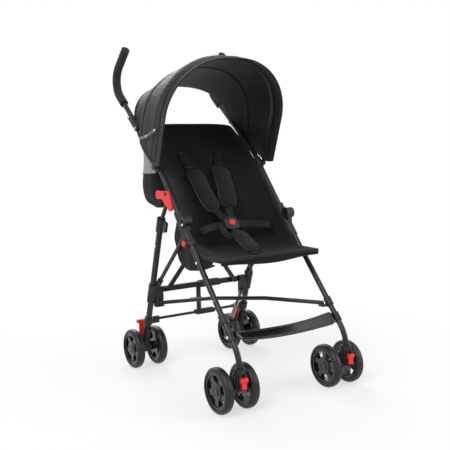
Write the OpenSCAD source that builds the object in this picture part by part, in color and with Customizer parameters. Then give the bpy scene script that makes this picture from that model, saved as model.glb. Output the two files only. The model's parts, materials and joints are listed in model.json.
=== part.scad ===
// Umbrella stroller: two tube side frames joined by folding cross braces, with a sling seat,
// a folding canopy, a storage bag, double caster wheels in front and double braked wheels behind.
// Lengths in mm. +Z is up, the stroller faces -Y and its left side is at +X.

/* [Wheels] */
// Wheel diameter over the tyre
wheel_d = 125; // [100:1:180]
// Width of one tyre
tyre_w = 27; // [18:1:40]
// Radial depth of the tyre
tyre_depth = 13; // [8:1:20]
// Distance between the two wheels of a pair
pair_gap = 80; // [64:1:110]
// Distance between the left and right wheel pairs
track = 366; // [320:1:460]
// Distance from front axles to rear axles
wheelbase = 520; // [420:1:640]
// Distance that the front axle trails behind its swivel
caster_trail = 42; // [25:1:60]
// Number of spokes in a wheel
spokes = 5; // [3:1:8]
// Axle diameter
axle_d = 8; // [6:0.5:12]

/* [Frame] */
// Diameter of the front leg and handle tubes
tube_d = 16; // [12:0.5:22]
// Diameter of the rear leg tubes
rear_tube_d = 19; // [14:0.5:25]
// Wall of all tubes
tube_wall = 1.2; // [0.8:0.1:2.5]
// Lean of the main tubes from upright, in degrees
frame_lean = 38.6; // [30:0.1:45]
// Lean of the front legs from upright, in degrees
leg_lean = 40.64; // [34:0.01:46]
// Lean of the upper handle from upright, in degrees
handle_lean = 50; // [42:0.1:56]
// Straight length of the front leg from its lower bend to the knuckle
front_leg_len = 390.7; // [350:0.1:430]
// Distance from knuckle to rear link pivot
link_rise = 115; // [95:1:140]
// Distance from knuckle to canopy hinge
hinge_rise = 217; // [190:1:230]
// Distance from knuckle to the bend of the handle
knee_rise = 252; // [240:1:280]
// Straight length of the upper handle
handle_len = 312; // [280:1:350]
// Radius of the grip bend
grip_bend_r = 62; // [50:1:80]
// Straight length of the grip end
grip_end_len = 75; // [60:1:100]
// Outer diameter of the foam grip
grip_d = 27; // [22:0.5:34]
// Diameter of the cross bars
bar_d = 12; // [9:0.5:15]
// Diameter of the lower rear rod
rod_d = 9; // [7:0.5:12]
// Height of the rear bracket on the rear leg
bracket_z = 250; // [220:1:280]
// Height of the lower rear rod
rod_z = 155; // [140:1:180]

/* [Canopy] */
// Height of the canopy bow above its hinge
bow_rise = 336; // [290:1:370]
// Lean of the canopy bow toward the front, in degrees
bow_lean = 20; // [5:1:30]
// Thickness of the bow strip
bow_t = 6; // [4:0.5:9]
// Width of the bow strip
bow_w = 16; // [10:1:24]
// Reach of the canopy visor past the bow
visor = 30; // [10:1:60]

/* [Seat] */
// Distance of the sling's side edges from the middle of the tubes
seat_gap = 21; // [18:1:40]
// Thickness of the seat sling
seat_t = 10; // [6:1:14]
// Distance of the storage bag's ends from the middle of the tubes
bag_gap = 38; // [30:1:60]
// Depth of the storage bag
bag_depth = 100; // [70:1:120]

/* [Hidden] */
// Clearance between pieces that slide or turn on each other
run_fit = 0.08;
// Clearance between separate pieces side by side
side_fit = 0.4;
// Length that every cut passes its piece by
over = 1;
// Extra radius of a tube where it is bent
bend_swell = 0.1;
// Extra radius of the ball where two bars meet
joint_swell = 0.3;
// Facets of a full round
$fn = 48;
tube_r = tube_d/2;
rear_tube_r = rear_tube_d/2;
wheel_r = wheel_d/2;
half_track = track/2;
bar_r = bar_d/2;
rod_r = rod_d/2;
grip_r = grip_d/2;
axle_r = axle_d/2;
rim_r = wheel_r - tyre_depth;

// Side frame places, as y and z: front_y is the front axle and the part's middle is at zero
stub_rise = 55;
stub_drop = 25;
leg_bend_r = 100;
stub_top = wheel_r + stub_rise;
lean_dir = [sin(frame_lean), cos(frame_lean)];
foot_dir = [sin(leg_lean), cos(leg_lean)];
ahead_dir = [-cos(frame_lean), sin(frame_lean)];
up_dir = [sin(handle_lean), cos(handle_lean)];
grip_reach = leg_bend_r*(1 - cos(leg_lean)) + front_leg_len*foot_dir[0] + knee_rise*lean_dir[0]
    + handle_len*up_dir[0] + grip_bend_r*(1 - cos(handle_lean)) + grip_r - caster_trail;
front_y = -(grip_reach - wheel_r)/2;
rear_y = front_y + wheelbase;
swivel_y = front_y - caster_trail;
leg_foot = [swivel_y, stub_top] + leg_bend_r*[1 - cos(leg_lean), sin(leg_lean)];
knuckle = leg_foot + front_leg_len*foot_dir;
link_top = knuckle + link_rise*lean_dir;
hinge = knuckle + hinge_rise*lean_dir;
knee = knuckle + knee_rise*lean_dir;
grip_start = knee + handle_len*up_dir;
grip_bend = grip_start + grip_bend_r*[-cos(handle_lean), sin(handle_lean)];
grip_end = grip_bend + grip_bend_r*[cos(handle_lean), sin(handle_lean)];
grip_dir = [-sin(handle_lean), cos(handle_lean)];
grip_lead = 40;
grip_cap = 4;
handle_bend_r = 120;
handle_bend_len = handle_bend_r*tan((handle_lean - frame_lean)/2);

// Rear leg: a link runs from the main tube to a collar and the leg runs on to the rear axle
collar_back = 67;
collar_drop = 90;
collar = [link_top[0] + collar_back, link_top[1] - collar_drop];
axle_rear = [rear_y, wheel_r];
leg_dir = (axle_rear - collar)/norm(axle_rear - collar);
leg_end_gap = 24;
link_r = 6.5;
collar_r = 13;
collar_len = 30;
tab_len = 42;
function leg_y(z) = collar[0] + (collar[1] - z)*leg_dir[0]/-leg_dir[1];

// Knuckle block
knuckle_r = 12.5;
knuckle_len = 46;
knuckle_wall = 3;
knob_r = 16;
knob_w = 26;
knob_out = 22;
knob_bore_r = 5;
web_t = 14;

// Red button on the knuckle skirt
button_r = 8.5;
button_drop = 60;
button_t = 6;
button_travel = 3;
boss_wall = 3;

// Rear bracket: arm, brace hinge, cross bar tab, strut socket
bracket_y = leg_y(bracket_z);
bracket_r = 13.5;
bracket_len = 62;
arm_t = 14;
arm_in = 37;
arm_top = 18;
arm_drop = 46;
brace_in = 27;
brace_x = half_track - brace_in;
brace_pin_r = 3;
head_t = 1.8;
head_r = 5.5;
brace_t = 12;
brace_h = 17;
cheek_t = 2.4;
cheek_len = 62;
channel_len = 50;
brace_y = bracket_y + arm_t/2 + side_fit + brace_t/2;
brace_rise = 5;
brace_z = bracket_z + brace_rise;
strut_r = 6;
strut_in = 14.5;
strut_foot_lead = 16;
strut_foot_rise = 27;
strut_head_back = 14;
strut_head_drop = 12;
strut_foot = [bracket_y - strut_foot_lead, bracket_z + strut_foot_rise];
strut_head = knuckle - strut_head_back*ahead_dir - strut_head_drop*lean_dir;
strut_socket_r = 9;
strut_socket_len = 24;
rod_clamp_len = 22;
rod_back = 8;
rod_y = leg_y(rod_z) + rod_back;

// Cross bars under the seat
tab_t = 3.4;
eye_r = 8;
eye_h = bar_d + 2*over;
cross_in = 30;
cross_lead = 4;
cross_x = half_track - cross_in;
cross_y = bracket_y - cross_lead;
tab_z = bracket_z - arm_drop;
cross_z = tab_z + tab_t + side_fit + eye_h/2;
front_bar_rise = 58;
front_bar = leg_foot + front_bar_rise/foot_dir[1]*foot_dir;
front_bar_gap = 11;
front_bar_x = half_track - tube_r - bar_r - front_bar_gap;
bar_rest_gap = side_fit + over;
bar_lift = bar_d + 2*over;
bar_bend_share = 0.34;
clip_r = 11;
clip_len = 26;

// Back braces between the canopy hinges and the rear brackets
brace_top_back = 33;
brace_top_in = 12.5;
brace_foot_lead = 3;
brace_foot_in = 58;
brace_top = [hinge[0] + brace_top_back, hinge[1]];
brace_top_x = half_track - brace_top_in;
brace_foot = [bracket_y - brace_foot_lead, brace_z];
brace_foot_x = half_track - brace_foot_in;
back_tilt = atan2(brace_foot[0] - brace_top[0], brace_top[1] - brace_foot[1]);
back_len = norm(brace_foot - brace_top);
back_w = 14;
back_t = 5;

// Canopy hinge
hinge_r = 11.5;
hinge_len = 34;
bow_out = 16;
bow_x = half_track + bow_out;
bow_pin_r = 4;
bow_eye_r = 9;
bow_corner_r = 180;

// Fold latch
latch_t = 8;
latch_end_share = 1.5;
latch_arm = 50;
latch_tail = 46;
latch_pin_r = 3;

// Centre link and pedal
link_t = 3;
link_w = 16;
pedal_w = 38;
pedal_depth = 24;
pedal_t = 5;
pedal_drop = 50;
pedal_z = bracket_z - pedal_drop;

// Caster and rear wheel housing
boss_r = 17;
boss_w = 28;
swivel_r = 15;
swivel_cap = 8;
swivel_lift = 12;
swivel_top = stub_top + swivel_cap;
swivel_floor = wheel_r + swivel_lift;
caster_wall = 2;
lock_w = 22;
lock_h = 29;
lock_stem_w = 15;
lock_t = 6;
lock_rib_w = 8;
lock_rib_t = 5;
lock_travel = 8;
housing_r = 13;
housing_len = 74;
brake_pin_r = 2.5;
brake_eye_r = 6.5;
brake_w = 20;
brake_stem_w = 25;
brake_t = 7;
brake_lip_share = 1.6;
brake_h = 62;
brake_top_w = 38;
brake_top_h = 10;
brake_back = 13;
brake_up = 26;
ear_t = 3;
ear_r = 8;

// Wheel rim
hub_r = 14;
rim_wall = 6;
rim_w = 22;
web_w = 15;
spoke_w = 15;
pocket_edge = 2;
face_r = 23;
cap_t = 3;
hub_out = 12;
shoulder_r = 10.5;

// Footrest
foot_rise = 18;
foot = leg_foot + foot_rise/foot_dir[1]*foot_dir;
foot_disc_r = 14;
foot_disc_t = 4;
foot_strip_w = 46;
foot_strip_t = 4;
foot_tilt = 24;
foot_gap = 6;
foot_x = half_track - tube_r - foot_gap;

// Harness
strap_w = 25;
strap_t = 2;
strap_gap_share = 0.75;
pad_w = 36;
pad_t = 9;
pad_start_share = 0.12;
pad_end_share = 0.84;
buckle_back = 28;
buckle_drop = 10;
buckle = [knuckle[0] + buckle_back, knuckle[1] - buckle_drop];
buckle_w = 46;
buckle_h = 44;
buckle_t = 13;
release_r = 13;
release_t = 5;
release_travel = 2.5;
strap_top_back = 18.5;
strap_top_drop = 28.7;
strap_top = [hinge[0] + strap_top_back, hinge[1] - strap_top_drop];
strap_top_x = 62;
strap_tilt = atan2(strap_top[0] - buckle[0], strap_top[1] - buckle[1]);
strap_len = norm(strap_top - buckle);
waist_len = 101;
waist_turn = 11;
waist_fall = 14;
crotch_lead = 92;
crotch_drop = 96.4;
crotch_foot = [knuckle[0] - crotch_lead, knuckle[1] - crotch_drop];

// Seat sling rows from the front edge to the top, as shares of the seat's reach from the knuckle:
// the middle of the sling and its two side edges
seat_reach = 200;
seat_w = track - 2*seat_gap;
seat_shares = [
    [[-0.88, -0.55], [-0.88, -0.48]],
    [[-0.64, -0.52], [-0.62, -0.45]],
    [[-0.39, -0.48], [-0.36, -0.39]],
    [[-0.07, -0.45], [-0.16, -0.2]],
    [[0.21, -0.36], [-0.06, -0.07]],
    [[0.36, -0.16], [0.03, 0.04]],
    [[0.46, 0.11], [0.14, 0.17]],
    [[0.6, 0.4], [0.31, 0.4]],
    [[0.8, 0.73], [0.56, 0.72]],
    [[1.02, 1.09], [0.93, 1.07]],
    [[1.42, 1.5], [1.41, 1.47]]
];
seat_cols = 16;
edge_power = 4;

// Canopy cover
cover_t = 2.5;
cover_rows = 9;
cover_cols = 28;
cover_ease = 2;
cover_leg_share = 0.31;
cover_top_share = 0.06;
cover_x = bow_x + bow_t/2 + side_fit + cover_ease + cover_t;
cover_rear = 215;
cover_rear_x = half_track + tube_r + side_fit + cover_t + 2*over;
cover_rear_rise = 124;
cover_rear_back = 34;
cover_hem = 16;
cover_crown = 14;
visor_droop_share = 0.25;

// Storage bag
bag_t = 3;
bag_w = track - 2*bag_gap;
bag_top_back = 119.8;
bag_top_rise = 86;
bag_foot_back = 66;
bag_foot_drop = 120;
bag_top = [hinge[0] + bag_top_back, hinge[1] + bag_top_rise];
bag_foot = [hinge[0] + bag_foot_back, hinge[1] - bag_foot_drop];
// Rear outline from the rim to the floor, as shares of the bag's height and of its depth
bag_shares = [[1, 0.62], [0.7, 0.78], [0.34, 1.28], [0.15, 1.24], [0, 0.95]];
bag_sag_shares = [0.3, 0.1];

function at(x, p) = [x, p[0], p[1]];
function unit(v) = v/norm(v);
function mix(a, b, t) = a + (b - a)*t;

// A round bar from one place to another
module run(a, b, r) {
    v = b - a;
    translate(a)
        rotate([0, acos(v[2]/norm(v)), atan2(v[1], v[0])])
            cylinder(h = norm(v), r = r);
}

// A ball at the far end of a run, with its poles on the run's line
module ball_end(a, b, r) {
    v = b - a;
    translate(b)
        rotate([0, acos(v[2]/norm(v)), atan2(v[1], v[0])])
            sphere(r);
}

// A round tube with open ends
module tube_run(a, b, r, wall) {
    v = unit(b - a);
    difference() {
        run(a, b, r);
        run(a - over*v, b + over*v, r - wall);
    }
}

// A bent bar in an upright plane, with angles from straight back
module bend(x, c, bend_r, from, to, r) {
    translate(at(x, c))
        rotate([90, 0, 90])
            rotate([0, 0, from])
                rotate_extrude(angle = to - from)
                    translate([bend_r, 0])
                        circle(r);
}

// A bent tube, a little fuller than the straight tubes that run into it
module tube_bend(x, c, bend_r, from, to, r, wall) {
    translate(at(x, c))
        rotate([90, 0, 90])
            rotate([0, 0, from])
                rotate_extrude(angle = to - from)
                    translate([bend_r, 0])
                        difference() {
                            circle(r + bend_swell);
                            circle(r - wall - bend_swell);
                        }
}

// A round piece across the stroller, centred at a place
module across(x, p, r, w) {
    translate(at(x, p))
        rotate([0, 90, 0])
            cylinder(h = w, r = r, center = true);
}

// A round piece along the stroller, from one y to another
module along(x, from, to, z, r) {
    translate([x, from, z])
        rotate([-90, 0, 0])
            cylinder(h = to - from, r = r);
}

// An outline in y and z, extruded across the stroller
module plate(x, w) {
    translate([x, 0, 0])
        rotate([90, 0, 90])
            linear_extrude(w, center = true)
                children();
}

// A flat bar with round ends between two places in x and z, with its thickness along y
module strap_bar(a, b, w, t) {
    v = b - a;
    translate([a[0], 0, a[1]])
        rotate([0, atan2(v[0], v[1]), 0]) {
            translate([-w/2, -t/2, 0])
                cube([w, t, norm(v)]);
            for (z = [0, norm(v)])
                along_local(z, w/2, t);
        }
}

module along_local(z, r, t) {
    translate([0, t/2, z])
        rotate([90, 0, 0])
            cylinder(h = t, r = r);
}

// A closed sheet between two grids of places
module sheet(front, back) {
    rows = len(front);
    cols = len(front[0]);
    count = rows*cols;
    points = concat([for (r = front) each r], [for (r = back) each r]);
    faces = concat(
        [for (i = [0:rows - 2]) for (j = [0:cols - 2]) let (k = i*cols + j) each
            [[k, k + 1, k + cols + 1], [k, k + cols + 1, k + cols]]],
        [for (i = [0:rows - 2]) for (j = [0:cols - 2]) let (k = count + i*cols + j) each
            [[k, k + cols + 1, k + 1], [k, k + cols, k + cols + 1]]],
        [for (j = [0:cols - 2]) each
            [[j, count + j, count + j + 1], [j, count + j + 1, j + 1]]],
        [for (j = [0:cols - 2]) let (k = count - cols + j) each
            [[k, k + count + 1, k + count], [k, k + 1, k + count + 1]]],
        [for (i = [0:rows - 2]) let (k = i*cols) each
            [[k, k + cols, k + cols + count], [k, k + cols + count, k + count]]],
        [for (i = [0:rows - 2]) let (k = i*cols + cols - 1) each
            [[k, k + cols + count, k + cols], [k, k + count, k + cols + count]]]
    );
    polyhedron(points, faces);
}

// Draws the left side as it is and the right side as its mirror image
module side(s) {
    if (s < 0)
        mirror([1, 0, 0])
            children();
    else
        children();
}

module front_leg(s) {
    color([0.08, 0.08, 0.09])
        side(s) {
            tube_run(at(half_track, [swivel_y, stub_top - stub_drop]),
                at(half_track, [swivel_y, stub_top + over]), tube_r, tube_wall);
            tube_bend(half_track, [swivel_y + leg_bend_r, stub_top], leg_bend_r,
                180 - leg_lean, 180, tube_r, tube_wall);
            tube_run(at(half_track, leg_foot - over*foot_dir),
                at(half_track, knuckle - knuckle_wall*foot_dir), tube_r, tube_wall);
        }
}

// Straight through the knuckle and the canopy hinge, bent back at the knee and round at the grip
module handle_tube(s) {
    bend_from = knee - handle_bend_len*lean_dir;
    bend_to = knee + handle_bend_len*up_dir;
    x = half_track + tube_r + side_fit + latch_t + side_fit;
    color([0.08, 0.08, 0.09])
        side(s) {
            tube_run(at(half_track, knuckle + knuckle_wall*lean_dir),
                at(half_track, bend_from + over*lean_dir), tube_r, tube_wall);
            tube_bend(half_track, bend_from + handle_bend_r*[cos(frame_lean), -sin(frame_lean)],
                handle_bend_r, 180 - handle_lean, 180 - frame_lean, tube_r, tube_wall);
            tube_run(at(half_track, bend_to - over*up_dir),
                at(half_track, grip_start + over*up_dir), tube_r, tube_wall);
            tube_bend(half_track, grip_bend, grip_bend_r, -handle_lean, handle_lean, tube_r, tube_wall);
            tube_run(at(half_track, grip_end - over*grip_dir),
                at(half_track, grip_end + (grip_end_len - grip_cap)*grip_dir), tube_r, tube_wall);
            if (s < 0) {
                across((half_track + tube_r - tube_wall + x + head_t)/2, link_top, latch_pin_r,
                    x + head_t - half_track - tube_r + tube_wall);
                across(x + head_t/2, link_top, head_r, head_t);
            }
        }
}

module grip(s) {
    hole_r = tube_r + bend_swell + run_fit;
    tip = grip_end + grip_end_len*grip_dir;
    color([0.14, 0.14, 0.15])
        side(s)
            difference() {
                union() {
                    run(at(half_track, grip_start - grip_lead*up_dir), at(half_track, grip_start + over*up_dir),
                        grip_r);
                    bend(half_track, grip_bend, grip_bend_r, -handle_lean, handle_lean, grip_r + bend_swell);
                    run(at(half_track, grip_end - over*grip_dir), at(half_track, tip), grip_r);
                }
                run(at(half_track, grip_start - (grip_lead + over)*up_dir),
                    at(half_track, grip_start + over*up_dir), hole_r);
                bend(half_track, grip_bend, grip_bend_r, -handle_lean, handle_lean, hole_r + bend_swell);
                run(at(half_track, grip_end - over*grip_dir), at(half_track, tip - grip_cap*grip_dir), hole_r);
            }
}

// Two sockets in line, a round hinge knob in front, a strut lug behind and a skirt with the button seat
module knuckle_block(s, with_seat) {
    seat = knuckle - button_drop*lean_dir;
    seat_x = half_track + knuckle_r;
    color([0.09, 0.09, 0.1])
        side(s)
            difference() {
                union() {
                    run(at(half_track, knuckle - (button_drop + button_r + boss_wall)*lean_dir),
                        at(half_track, knuckle + knuckle_len*lean_dir), knuckle_r);
                    across(half_track, knuckle + knob_out*ahead_dir, knob_r, knob_w);
                    plate(half_track, web_t)
                        polygon([
                            knuckle + knob_out*ahead_dir + knob_r*lean_dir,
                            knuckle + knob_out*ahead_dir - knob_r*lean_dir,
                            knuckle - knuckle_len*lean_dir,
                            knuckle + knuckle_len*lean_dir
                        ]);
                    if (with_seat)
                        across(seat_x, seat, button_r + boss_wall, 2*button_t);
                    run(at(half_track - strut_in, strut_head + over*unit(strut_head - strut_foot)),
                        at(half_track - strut_in, strut_head - strut_socket_len*unit(strut_head - strut_foot)),
                        strut_socket_r);
                    across(half_track - strut_in/2, strut_head, strut_r, strut_in);
                }
                for (way = [lean_dir, -foot_dir])
                    run(at(half_track, knuckle + knuckle_wall*way),
                        at(half_track, knuckle + (button_drop + knuckle_len)*way), tube_r + run_fit);
                across(half_track, knuckle + knob_out*ahead_dir, knob_bore_r, knob_w + 2*over);
                if (with_seat)
                    across(seat_x + button_t, seat, button_r + run_fit, 2*button_t - 2*over);
                run(at(half_track - strut_in, strut_foot), at(half_track - strut_in, strut_head),
                    strut_r + run_fit);
            }
}

module frame_button() {
    color([0.85, 0.1, 0.08])
        side(-1)
            across(half_track + knuckle_r + over + button_travel + button_t/2,
                knuckle - button_drop*lean_dir, button_r, button_t);
}

// Coped against the main tube and plugged into the leg's collar
module rear_link(s) {
    color([0.08, 0.08, 0.09])
        side(s)
            difference() {
                union() {
                    run(at(half_track, collar), at(half_track, link_top), link_r);
                    run(at(half_track, collar - collar_len/2*leg_dir),
                        at(half_track, collar + collar_len*leg_dir), collar_r);
                    plate(half_track, link_r)
                        polygon([
                            collar - collar_len/2*leg_dir, collar + collar_len*leg_dir,
                            collar + collar_len*leg_dir - tab_len*[1, 0],
                            collar - tab_len*[1, 0]
                        ]);
                }
                run(at(half_track, knuckle), at(half_track, knee), tube_r + run_fit);
                run(at(half_track, collar), at(half_track, axle_rear), rear_tube_r + run_fit);
            }
}

module rear_leg(s) {
    color([0.08, 0.08, 0.09])
        side(s)
            tube_run(at(half_track, collar + run_fit*leg_dir),
                at(half_track, axle_rear - leg_end_gap*leg_dir), rear_tube_r, tube_wall);
}

module side_strut(s) {
    color([0.08, 0.08, 0.09])
        side(s)
            tube_run(at(half_track - strut_in, strut_foot), at(half_track - strut_in, strut_head),
                strut_r, tube_wall);
}

// Sleeve on the rear leg with an arm for the braces, a socket for the side strut,
// a tab for the cross bar, and a small clamp lower down for the rod
module rear_bracket(s) {
    up = unit(strut_head - strut_foot);
    arm_x = half_track - arm_in;
    pin_end = brace_y + brace_t/2 + cheek_t + 2*side_fit;
    rod_end = rod_y + rod_r + joint_swell + side_fit;
    notch_h = eye_h + head_t + 3*side_fit;
    color([0.1, 0.1, 0.11])
        side(s) {
            difference() {
                union() {
                    run(at(half_track, [bracket_y, bracket_z] - bracket_len/2*leg_dir),
                        at(half_track, [bracket_y, bracket_z] + bracket_len/2*leg_dir), bracket_r);
                    translate([arm_x, bracket_y - arm_t/2, tab_z])
                        cube([arm_in - rear_tube_r + over, arm_t, arm_drop + arm_top]);
                    translate([arm_x, cross_y - eye_r, tab_z])
                        cube([arm_in - rear_tube_r, eye_r + arm_t/2, tab_t]);
                    run(at(half_track - strut_in, strut_foot - over*up),
                        at(half_track - strut_in, strut_foot + strut_socket_len*up), strut_socket_r);
                    translate([brace_foot_x - back_w/2, brace_foot[0] + back_t + 2*over, brace_z - back_w/2])
                        cube([half_track - arm_in - brace_foot_x + back_w, tab_t, back_w]);
                }
                run(at(half_track, collar), at(half_track, axle_rear), rear_tube_r + run_fit);
                run(at(half_track - strut_in, strut_foot), at(half_track - strut_in, strut_head),
                    strut_r + run_fit);
                translate([arm_x - over, cross_y - 2*eye_r, tab_z + tab_t])
                    cube([cross_x + eye_r + side_fit - arm_x + over, 3*eye_r + side_fit, notch_h]);
            }
            along(brace_x, bracket_y, pin_end, brace_z, brace_pin_r);
            along(brace_x, pin_end - head_t, pin_end, brace_z, head_r);
            translate([cross_x, cross_y, tab_z])
                cylinder(h = tab_t + eye_h + 2*side_fit + head_t, r = brace_pin_r);
            translate([cross_x, cross_y, cross_z + eye_h/2 + side_fit])
                cylinder(h = head_t, r = head_r);
            difference() {
                union() {
                    run(at(half_track, [leg_y(rod_z), rod_z] - rod_clamp_len/2*leg_dir),
                        at(half_track, [leg_y(rod_z), rod_z] + rod_clamp_len/2*leg_dir), bracket_r);
                    translate([arm_x, rod_y - rod_r - joint_swell - side_fit - arm_t/2, rod_z - rod_clamp_len/2])
                        cube([arm_in, arm_t/2, rod_clamp_len]);
                    along(brace_x, rod_y - rod_r - arm_t/2, rod_end + head_t, rod_z, brace_pin_r);
                    along(brace_x, rod_end, rod_end + head_t, rod_z, head_r);
                }
                run(at(half_track, collar), at(half_track, axle_rear), rear_tube_r + run_fit);
            }
        }
}

// Cross bar: an eye on the rear bracket's pin and a bar that lies on the clip of the opposite front leg
module cross_bar(s, lift) {
    foot = [cross_x, cross_y, cross_z];
    tip = at(-front_bar_x, front_bar);
    rise = [0, 0, lift];
    first = mix(foot, tip, bar_bend_share) + rise;
    second = mix(foot, tip, 1 - bar_bend_share) + rise;
    color([0.08, 0.08, 0.09])
        side(s)
            difference() {
                union() {
                    translate(foot)
                        cylinder(h = eye_h, r = eye_r, center = true);
                    run(foot, first, bar_r);
                    run(second, first, bar_r);
                    run(second, tip, bar_r);
                    ball_end(foot, first, bar_r + joint_swell);
                    ball_end(first, second, bar_r + joint_swell);
                    ball_end(second, tip, bar_r + joint_swell);
                }
                translate(foot)
                    cylinder(h = 2*eye_h, r = brace_pin_r + run_fit, center = true);
            }
}

// Which layer of the crossed back braces a side's brace lies in
function layer(s) = s*(back_t/2 + side_fit);

// Draws in the plane of the back braces, with its origin between their top pins
module back_plane() {
    translate(at(0, brace_top))
        rotate([back_tilt, 0, 0])
            children();
}

module back_brace(s) {
    color([0.1, 0.1, 0.11])
        side(s)
            back_plane()
                translate([0, layer(s), 0])
                    difference() {
                        strap_bar([brace_top_x, 0], [-brace_foot_x, -back_len], back_w, back_t);
                        along(brace_top_x, -back_t, back_t, 0, brace_pin_r + run_fit);
                    }
}

// Half of the upper rear brace: the left half carries the two cheeks of the centre hinge
module rear_brace(s) {
    cheek_y = brace_t/2 + side_fit + cheek_t/2;
    inner_end = s > 0 ? channel_len + brace_h/2 : 0;
    link_pin_end = cheek_y + cheek_t/2 + link_t + 2*side_fit + head_t;
    color([0.08, 0.08, 0.09])
        side(s)
            translate([0, brace_y, 0])
                difference() {
                    union() {
                        strap_bar([brace_x, brace_z], [inner_end, brace_z], brace_h, brace_t);
                        if (s > 0) {
                            for (way = [-1, 1])
                                translate([0, way*cheek_y, 0])
                                    strap_bar([cheek_len + brace_h/2, brace_z], [0, brace_z],
                                        brace_h + 2*cheek_t, cheek_t);
                            along(cheek_len + brace_h/2, -cheek_y, cheek_y, brace_z, head_r);
                            along(0, cheek_y, link_pin_end, brace_z, brace_pin_r);
                            along(0, link_pin_end - head_t, link_pin_end, brace_z, head_r);
                            along(0, -cheek_y - cheek_t/2 - head_t, -cheek_y, brace_z, head_r);
                        }
                    }
                    along(brace_x, -brace_t, brace_t, brace_z, brace_pin_r + run_fit);
                }
}

// Half of the lower rear rod, hinged in the same way
module lower_rod(s) {
    cheek_y = rod_r + joint_swell + side_fit + cheek_t/2;
    inner_end = s > 0 ? channel_len : 0;
    color([0.08, 0.08, 0.09])
        side(s)
            translate([0, rod_y, 0])
                difference() {
                    union() {
                        run([brace_x, 0, rod_z], [inner_end, 0, rod_z], rod_r);
                        along(brace_x, -rod_r - joint_swell, rod_r + joint_swell, rod_z, eye_r);
                        ball_end([brace_x, 0, rod_z], [inner_end, 0, rod_z], rod_r + joint_swell);
                        if (s > 0) {
                            for (way = [-1, 1])
                                translate([0, way*cheek_y, 0])
                                    strap_bar([cheek_len, rod_z], [0, rod_z], 2*eye_r, cheek_t);
                            along(cheek_len, -cheek_y, cheek_y, rod_z, brace_pin_r);
                        }
                    }
                    along(brace_x, -rod_d, rod_d, rod_z, brace_pin_r + run_fit);
                }
}

// Upright link behind the centre hinge, with the foot pedal that breaks the brace
module centre_link() {
    link_y = brace_y + brace_t/2 + 2*side_fit + cheek_t + link_t/2;
    color([0.1, 0.1, 0.11])
        difference() {
            union() {
                translate([0, link_y, 0])
                    strap_bar([0, brace_z], [0, rod_z + 2*eye_r], link_w, link_t);
                translate([-pedal_w/2, link_y, pedal_z])
                    cube([pedal_w, pedal_depth, pedal_t]);
            }
            along(0, link_y - link_t, link_y + link_t, brace_z, brace_pin_r + run_fit);
        }
}

// Sleeve on the handle tube with the bow's pin outside and the back brace's lug behind
module canopy_hinge(s) {
    pin_end = bow_x + bow_t/2 + side_fit + head_t;
    lug_y = layer(s) - back_t/2 - side_fit - tab_t;
    color([0.1, 0.1, 0.11])
        side(s)
            difference() {
                union() {
                    run(at(half_track, hinge - hinge_len/2*lean_dir),
                        at(half_track, hinge + hinge_len/2*lean_dir), hinge_r);
                    across((half_track + pin_end)/2, hinge, bow_pin_r, pin_end - half_track);
                    across(pin_end - head_t/2, hinge, bow_eye_r, head_t);
                    across((half_track + bow_x - bow_t/2 - side_fit)/2, hinge, bow_eye_r,
                        bow_x - bow_t/2 - side_fit - half_track);
                    back_plane() {
                        translate([brace_top_x - back_w/2, lug_y, -back_w/2])
                            cube([half_track - brace_top_x + back_w/2 - tube_r/2, tab_t, back_w]);
                        along(brace_top_x, lug_y, layer(s) + back_t/2 + side_fit + head_t, 0, brace_pin_r);
                        along(brace_top_x, layer(s) + back_t/2 + side_fit,
                            layer(s) + back_t/2 + side_fit + head_t, 0, head_r);
                        translate([half_track - hinge_r, hinge[0] - brace_top[0], -back_w/2])
                            cube([hinge_r - tube_r/2, lug_y + tab_t + brace_top[0] - hinge[0], back_w]);
                    }
                }
                run(at(half_track, knuckle), at(half_track, knee), tube_r + run_fit);
            }
}

// Clips on the front leg: one holds the footrest and one carries the tip of a cross bar
module foot_bracket(s) {
    color([0.1, 0.1, 0.11])
        side(s) {
            difference() {
                union() {
                    run(at(half_track, foot - clip_len/2*foot_dir), at(half_track, foot + clip_len/2*foot_dir),
                        clip_r);
                    across(foot_x + foot_disc_t/2, foot, foot_disc_r, foot_disc_t);
                    across((foot_x + half_track)/2, foot, clip_r/2, half_track - foot_x);
                }
                run(at(half_track, leg_foot), at(half_track, knuckle), tube_r + run_fit);
            }
            difference() {
                union() {
                    run(at(half_track, front_bar - clip_len/2*foot_dir),
                        at(half_track, front_bar + clip_len/2*foot_dir), clip_r);
                    translate([front_bar_x - bar_r, front_bar[0] - clip_r,
                        front_bar[1] - bar_r - bar_rest_gap - tab_t])
                        cube([half_track - front_bar_x + bar_r, 2*clip_r, tab_t]);
                }
                run(at(half_track, leg_foot), at(half_track, knuckle), tube_r + run_fit);
                translate([front_bar_x - bar_r - over, front_bar[0] - clip_len, front_bar[1] - bar_r - bar_rest_gap])
                    cube([2*bar_r + 2*over, 2*clip_len, 2*clip_len]);
            }
        }
}

// Tilted strip between the front legs, with a lip along its front edge
module footrest() {
    color([0.07, 0.07, 0.08])
        translate(at(0, foot))
            rotate([foot_tilt, 0, 0])
                translate([-foot_x + side_fit, -foot_strip_w/2, -foot_strip_t/2]) {
                    cube([2*(foot_x - side_fit), foot_strip_w, foot_strip_t]);
                    translate([0, 0, foot_strip_t/2])
                        rotate([0, 90, 0])
                            cylinder(h = 2*(foot_x - side_fit), r = foot_strip_t);
                }
}

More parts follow.
